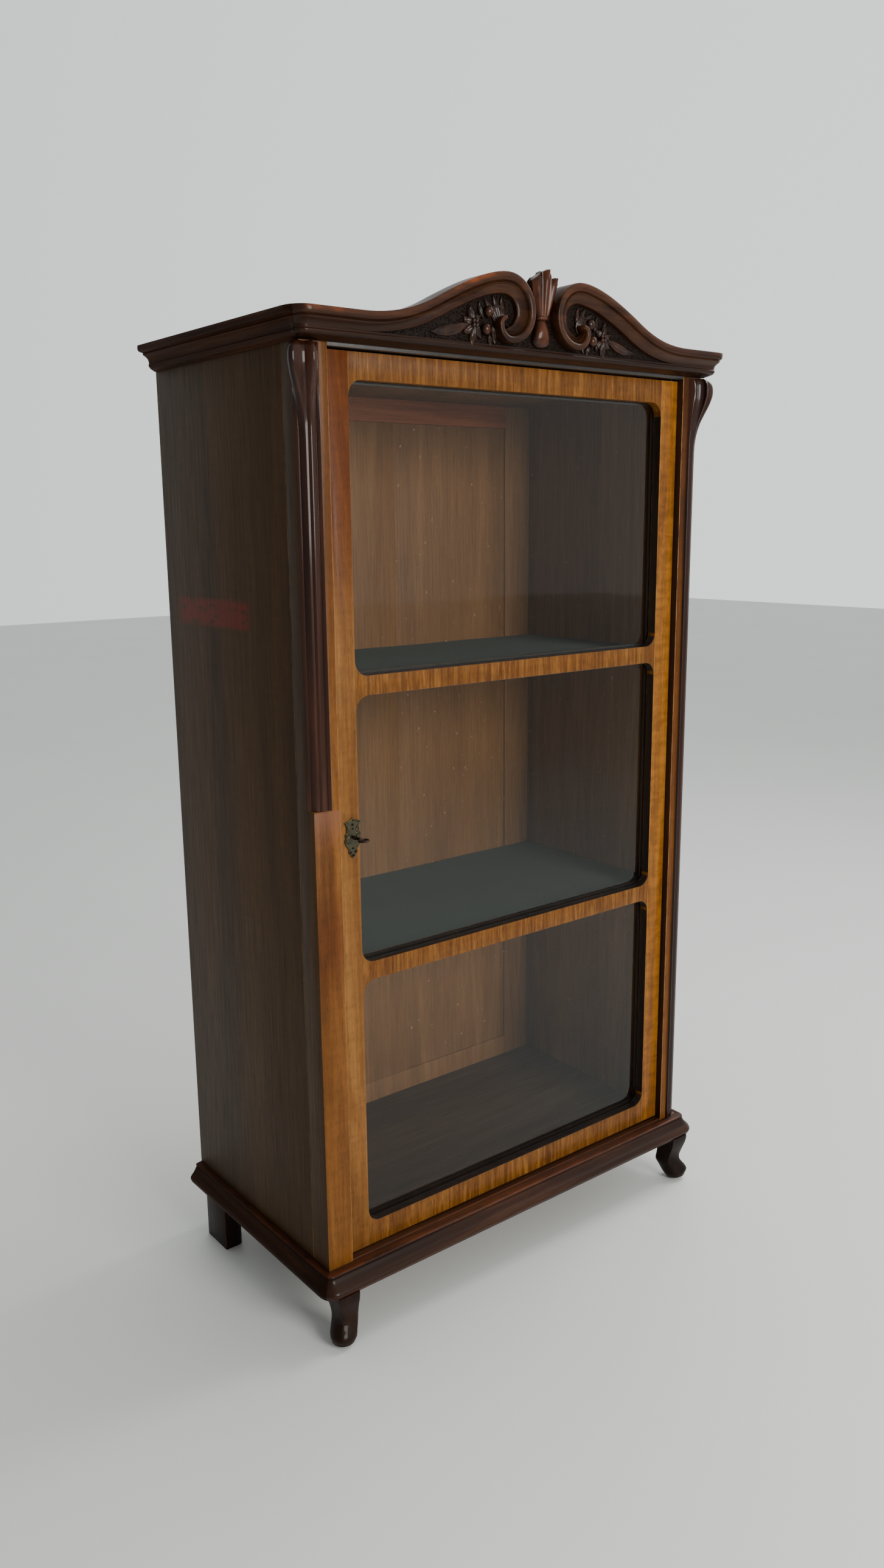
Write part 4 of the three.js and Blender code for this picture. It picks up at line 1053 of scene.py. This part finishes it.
def build_felts():
    """Each shelf's felt: a thin cloth, laid flat, with slow low waves and a soft edge."""
    columns, rows = 60, 30
    wide = columns + 1
    count = wide * (rows + 1)
    for level in ("lower", "upper"):
        low, high = span(f"shelf_felt_{level}")
        upper, under, faces = [], [], []
        for j in range(rows + 1):
            for i in range(wide):
                x, y = lerp(low.x, high.x, i / columns), lerp(low.y, high.y, j / rows)
                wave = 0.25 * sin(x / 57 + y / 41) + 0.2 * sin(x / 31 - y / 23) - 0.45
                rim = 0.5 if i in (0, columns) or j in (0, rows) else 0
                upper.append((x, y, high.z + wave - rim))
                under.append((x, y, low.z))
        for j in range(rows):
            for a in range(j * wide, j * wide + columns):
                faces.append((a, a + 1, a + wide + 1, a + wide))
                faces.append((count + a, count + a + wide, count + a + wide + 1, count + a + 1))
        border = list(range(columns)) + [j * wide + columns for j in range(rows)]
        border += [rows * wide + i for i in range(columns, 0, -1)] + [j * wide for j in range(rows, 0, -1)]
        faces += [(a, a + count, b + count, b) for a, b in zip(border, border[1:] + border[:1])]
        node = f"shelf_felt_{level}"
        cloth = piece(f"felt_{level}", (upper + under, faces), "case", "green_felt", felt, (node,))


# ---- door
PANE_CORNER = 22
REBATE = 4
REBATE_FACE = 16


def rail_outline(x, z0, z1, below, above):
    """A rail whose ends flare into the stiles with a quarter circle above and below."""
    r = PANE_CORNER
    quarter = [(r * cos(a), r * sin(a)) for a in (pi / 2 * k / 12 for k in range(13))]
    lower = [(x - r + c, z0 - r + s) for c, s in reversed(quarter)] if below else [(x, z0)]
    upper = [(x - r + c, z1 + r - s) for c, s in quarter] if above else [(x, z1)]
    right = lower + upper
    return right + [(-px, pz) for px, pz in reversed(right)]


def door_face_pick(sign_x=0):
    """Material 1 on the reveals that face into a pane's opening, in front of the glass."""
    def pick(face):
        depth = (face.calc_center_median().y - FACE_Y) / MM
        x, y, z = face.normal
        inward = x * sign_x > 0.7 if sign_x else abs(z) > 0.3 or abs(x) < 0.9
        return 1 if 0.9 < depth < REBATE_FACE and abs(y) < 0.5 and inward else 0
    return pick


def build_door():
    slot = "golden_veneer"
    x = LIGHT_HALF - 0.3
    for name in ("bottom", "lower", "upper", "top"):
        node = f"door_rail_{name}"
        low, high = span(node)
        below, above = name != "bottom", name != "top"
        z0 = low.z + (PANE_CORNER if below else 0)
        z1 = high.z - (PANE_CORNER if above else 0)
        face = slab(rail_outline(x, z0, z1, below, above), 0, REBATE_FACE)
        back_low, back_high = z0 + (REBATE if below else 0), z1 - (REBATE if above else 0)
        back = block(-x, x, REBATE_FACE - 0.5, DOOR_THICK, back_low, back_high)
        pick = door_face_pick() if name != "top" else None
        materials = [veneer_rail, dark_reveal]
        piece(f"rail_{name}_veneered", joined(face, back), "door", slot, materials, (node,), 0.9, pick)
    refined("door_stile_left", "door", slot, [veneer_lock, dark_reveal], 0.9, door_face_pick(1))
    refined("door_stile_right", "door", slot, [veneer_stile, dark_reveal], 0.9, door_face_pick(-1))
    for level in ("lower", "middle", "upper"):
        keep(f"glass_{level}", glass)
        keep(f"glazing_bead_{level}", dark_reveal)
    for node in frame["nodes"]:
        if node.startswith(("pivot_", "lock_")):
            keep(node, iron)


# ---- key plate and key
def scroll(side, y, centre, radius, start, end, steps, tighten):
    """Points on a turn in x and z about a centre near the keyhole. tighten draws the end inwards."""
    points = []
    for k in range(steps + 1):
        a = radians(lerp(start, end, k / steps))
        r = radius * (1 - tighten * k / steps)
        points.append((KEY_X + side * (centre[0] + r * cos(a)), y, KEY_Z + centre[1] + r * sin(a)))
    return points


def key_plate():
    low, high = span("escutcheon")
    half = strokes(
        [(0, 28), (2.6, 25.8), (5.2, 24.4)], [(5.2, 24.4), (9.4, 23.6), (14, 22.4)],
        [(14, 22.4), (11.4, 19.4), (9.8, 15.6), (10.4, 11), (9.2, 7.4)],
        [(9.2, 7.4), (12, 6), (12.8, 2.4), (11.4, -0.4)],
        [(11.4, -0.4), (13.4, -3.4), (12.8, -9), (9.4, -14.6), (5, -19)],
        [(5, -19), (7, -21.6), (5.6, -25), (3.4, -25.6)], [(3.4, -25.6), (3.2, -28.6), (0, -31)],
    )
    outline = [(KEY_X + x, KEY_Z + z) for x, z in half + [(-x, z) for x, z in reversed(half[1:-1])]]
    bodies = [slab(outline, low.y + 0.4, high.y), ring([(x, low.y + 0.4, z) for x, z in outline], 0.9)]
    y = low.y + 0.5
    # Scrolls are (thickness at start and end), then centre, radius, angles, steps and tightening.
    scrolls = (
        ((1.7, 0.9), (5.4, -4.6), 6.2, 80, -100, 14, 0.25),
        ((1.5, 0.8), (7.2, 3.4), 3.4, -60, 170, 12, 0.35),
        ((1.4, 0.7), (4.2, 14.2), 4.4, -70, 120, 12, 0.3),
    )
    # Beads are (across, up, radius, squash); the middle ones leave out across.
    side_beads = ((12.2, 22, 1.25, 1), (8.2, 22.8, 1.0, 1), (4.4, -22.6, 2.0, 0.7))
    middle_beads = ((25.4, 1.3, 1), (18.6, 1.9, 0.8), (12.6, 1.5, 0.8), (-28, 2.1, 0.7), (-17, 1.7, 0.8))
    for side in (1, -1):
        for thick, *turn in scrolls:
            bodies.append(tube(scroll(side, y, *turn), *thick))
        bodies += [ball((KEY_X + side * x, y, KEY_Z + z), *form) for x, z, *form in side_beads]
    bodies += [ball((KEY_X, y, KEY_Z + z), *form) for z, *form in middle_beads]
    return joined(*bodies)


def keyhole():
    """A near-black sheet just proud of the plate's ground: painted shade for the dark opening that the key
    goes through.
    """
    front = span("escutcheon")[0].y
    angles = [radians(-60 + 300 * k / 16) for k in range(17)]
    points = [(KEY_X + 3.2 * cos(a), KEY_Z + 3.2 * sin(a)) for a in angles]
    points += [(KEY_X - 2.2, KEY_Z - 9), (KEY_X + 2.2, KEY_Z - 9)]
    return slab(points, front + 0.3, front + 1.2)


def key_shape():
    low, high = span("key")
    tip, radius = high.y, 2.1
    bow_deep, bow_wide, rim = 15.0, 18.0, 1.7
    centre = low.y + bow_deep / 2
    shaft = turned(curve([
        (tip, 0.4), (tip - 0.6, 1.8), (tip - 2, radius), (2, radius), (-4.6, radius), (-5, 3.1), (-6.4, 3.4),
        (-7.6, 2.6), (-8.6, 2.3), (-10, 3.0), (-11, 2.4), (-14, 1.9), (centre + bow_deep / 2 - 1, 2.3),
    ], 2), KEY_X, KEY_Z, 18)
    wide, deep = bow_wide / 2 - rim, bow_deep / 2 - rim
    bow = ring([(KEY_X + wide * c, centre + deep * s, KEY_Z) for c, s in circle(36)], rim, 10)
    bit = block(KEY_X - 1, KEY_X + 1, 18.8, 22.2, min(low.z, KEY_Z - 7.9), KEY_Z)
    return joined(shaft, bow, bit)


def build_lock():
    piece("key_plate", key_plate(), "door", "old_brass", brass, ("escutcheon",))
    piece("keyhole", keyhole(), "door", "dark_iron", dark_reveal)
    piece("old_key", key_shape(), "key", "dark_iron", iron, ("key",))


# ---- stage, light and camera
def build_stage():
    g = Graph("pale_floor")
    colour = g.blend(g.noise(g.place, 1.2, 3), linear(222, 223, 220), linear(230, 231, 228))
    mesh = bpy.data.meshes.new("floor")
    reach = 14
    corners = [(-reach, -reach, 0), (reach, -reach, 0), (reach, reach, 0), (-reach, reach, 0)]
    mesh.from_pydata(corners, [], [(0, 1, 2, 3)])
    mesh.materials.append(g.finish(colour, 0.5))
    floor = placed("floor", mesh)
    world = Graph("studio", bpy.data.worlds, "Background")
    look = world.place.node.outputs["Generated"]
    toward = world.node("VectorMath", {0: look, 1: (0.95, 0.3, 0)}, operation="DOT_PRODUCT").outputs["Value"]
    world.feed(world.shader.inputs["Strength"], world.rescale(toward, -0.6, 1.0, 0.45, 1.7))
    world.feed(world.shader.inputs["Color"], linear(222, 226, 225))
    bpy.context.scene.world = world.material


def softbox(name, place, target, size, power, warmth=(1, 1, 1)):
    data = bpy.data.lights.new(name, "AREA")
    data.shape = "RECTANGLE"
    data.size, data.size_y = size
    data.energy = power
    data.color = warmth
    lamp = placed(name, data)
    lamp.location = place
    lamp.rotation_euler = (Vector(target) - Vector(place)).to_track_quat("-Z", "Y").to_euler()


EYE = Vector((-1.27355, FACE_Y - 1.41397, 1.25203))
YAW, PITCH, ROLL = 0.667, -0.216, -0.010     # in radians: to the right, up, anticlockwise
LENS = 27.49


def build_camera():
    ahead = Vector((sin(YAW) * cos(PITCH), cos(YAW) * cos(PITCH), sin(PITCH)))
    level = Vector((cos(YAW), -sin(YAW), 0))
    upright = level.cross(ahead)
    right = level * cos(ROLL) + upright * sin(ROLL)
    up = upright * cos(ROLL) - level * sin(ROLL)
    data = bpy.data.cameras.new("camera")
    data.lens = LENS
    data.sensor_width = 36
    data.sensor_fit = "AUTO"
    camera = placed("camera", data)
    turn = Matrix((right, up, -ahead)).transposed()
    camera.matrix_world = Matrix.Translation(EYE) @ turn.to_4x4()
    bpy.context.scene.camera = camera


build_camera()
build_plinth()
build_side_cornices()
build_pediment()
build_corner_mouldings()
build_feet()
build_case()
build_felts()
build_door()
build_lock()
build_stage()
softbox("window_light", (0.1, -3.5, 1.8), (0, 0, 0.8), (1.4, 1.4), 95, (1.0, 0.98, 0.94))
softbox("ceiling_light", (2.4, -0.2, 3.2), (0, 0, 0.8), (1.6, 1.6), 70)
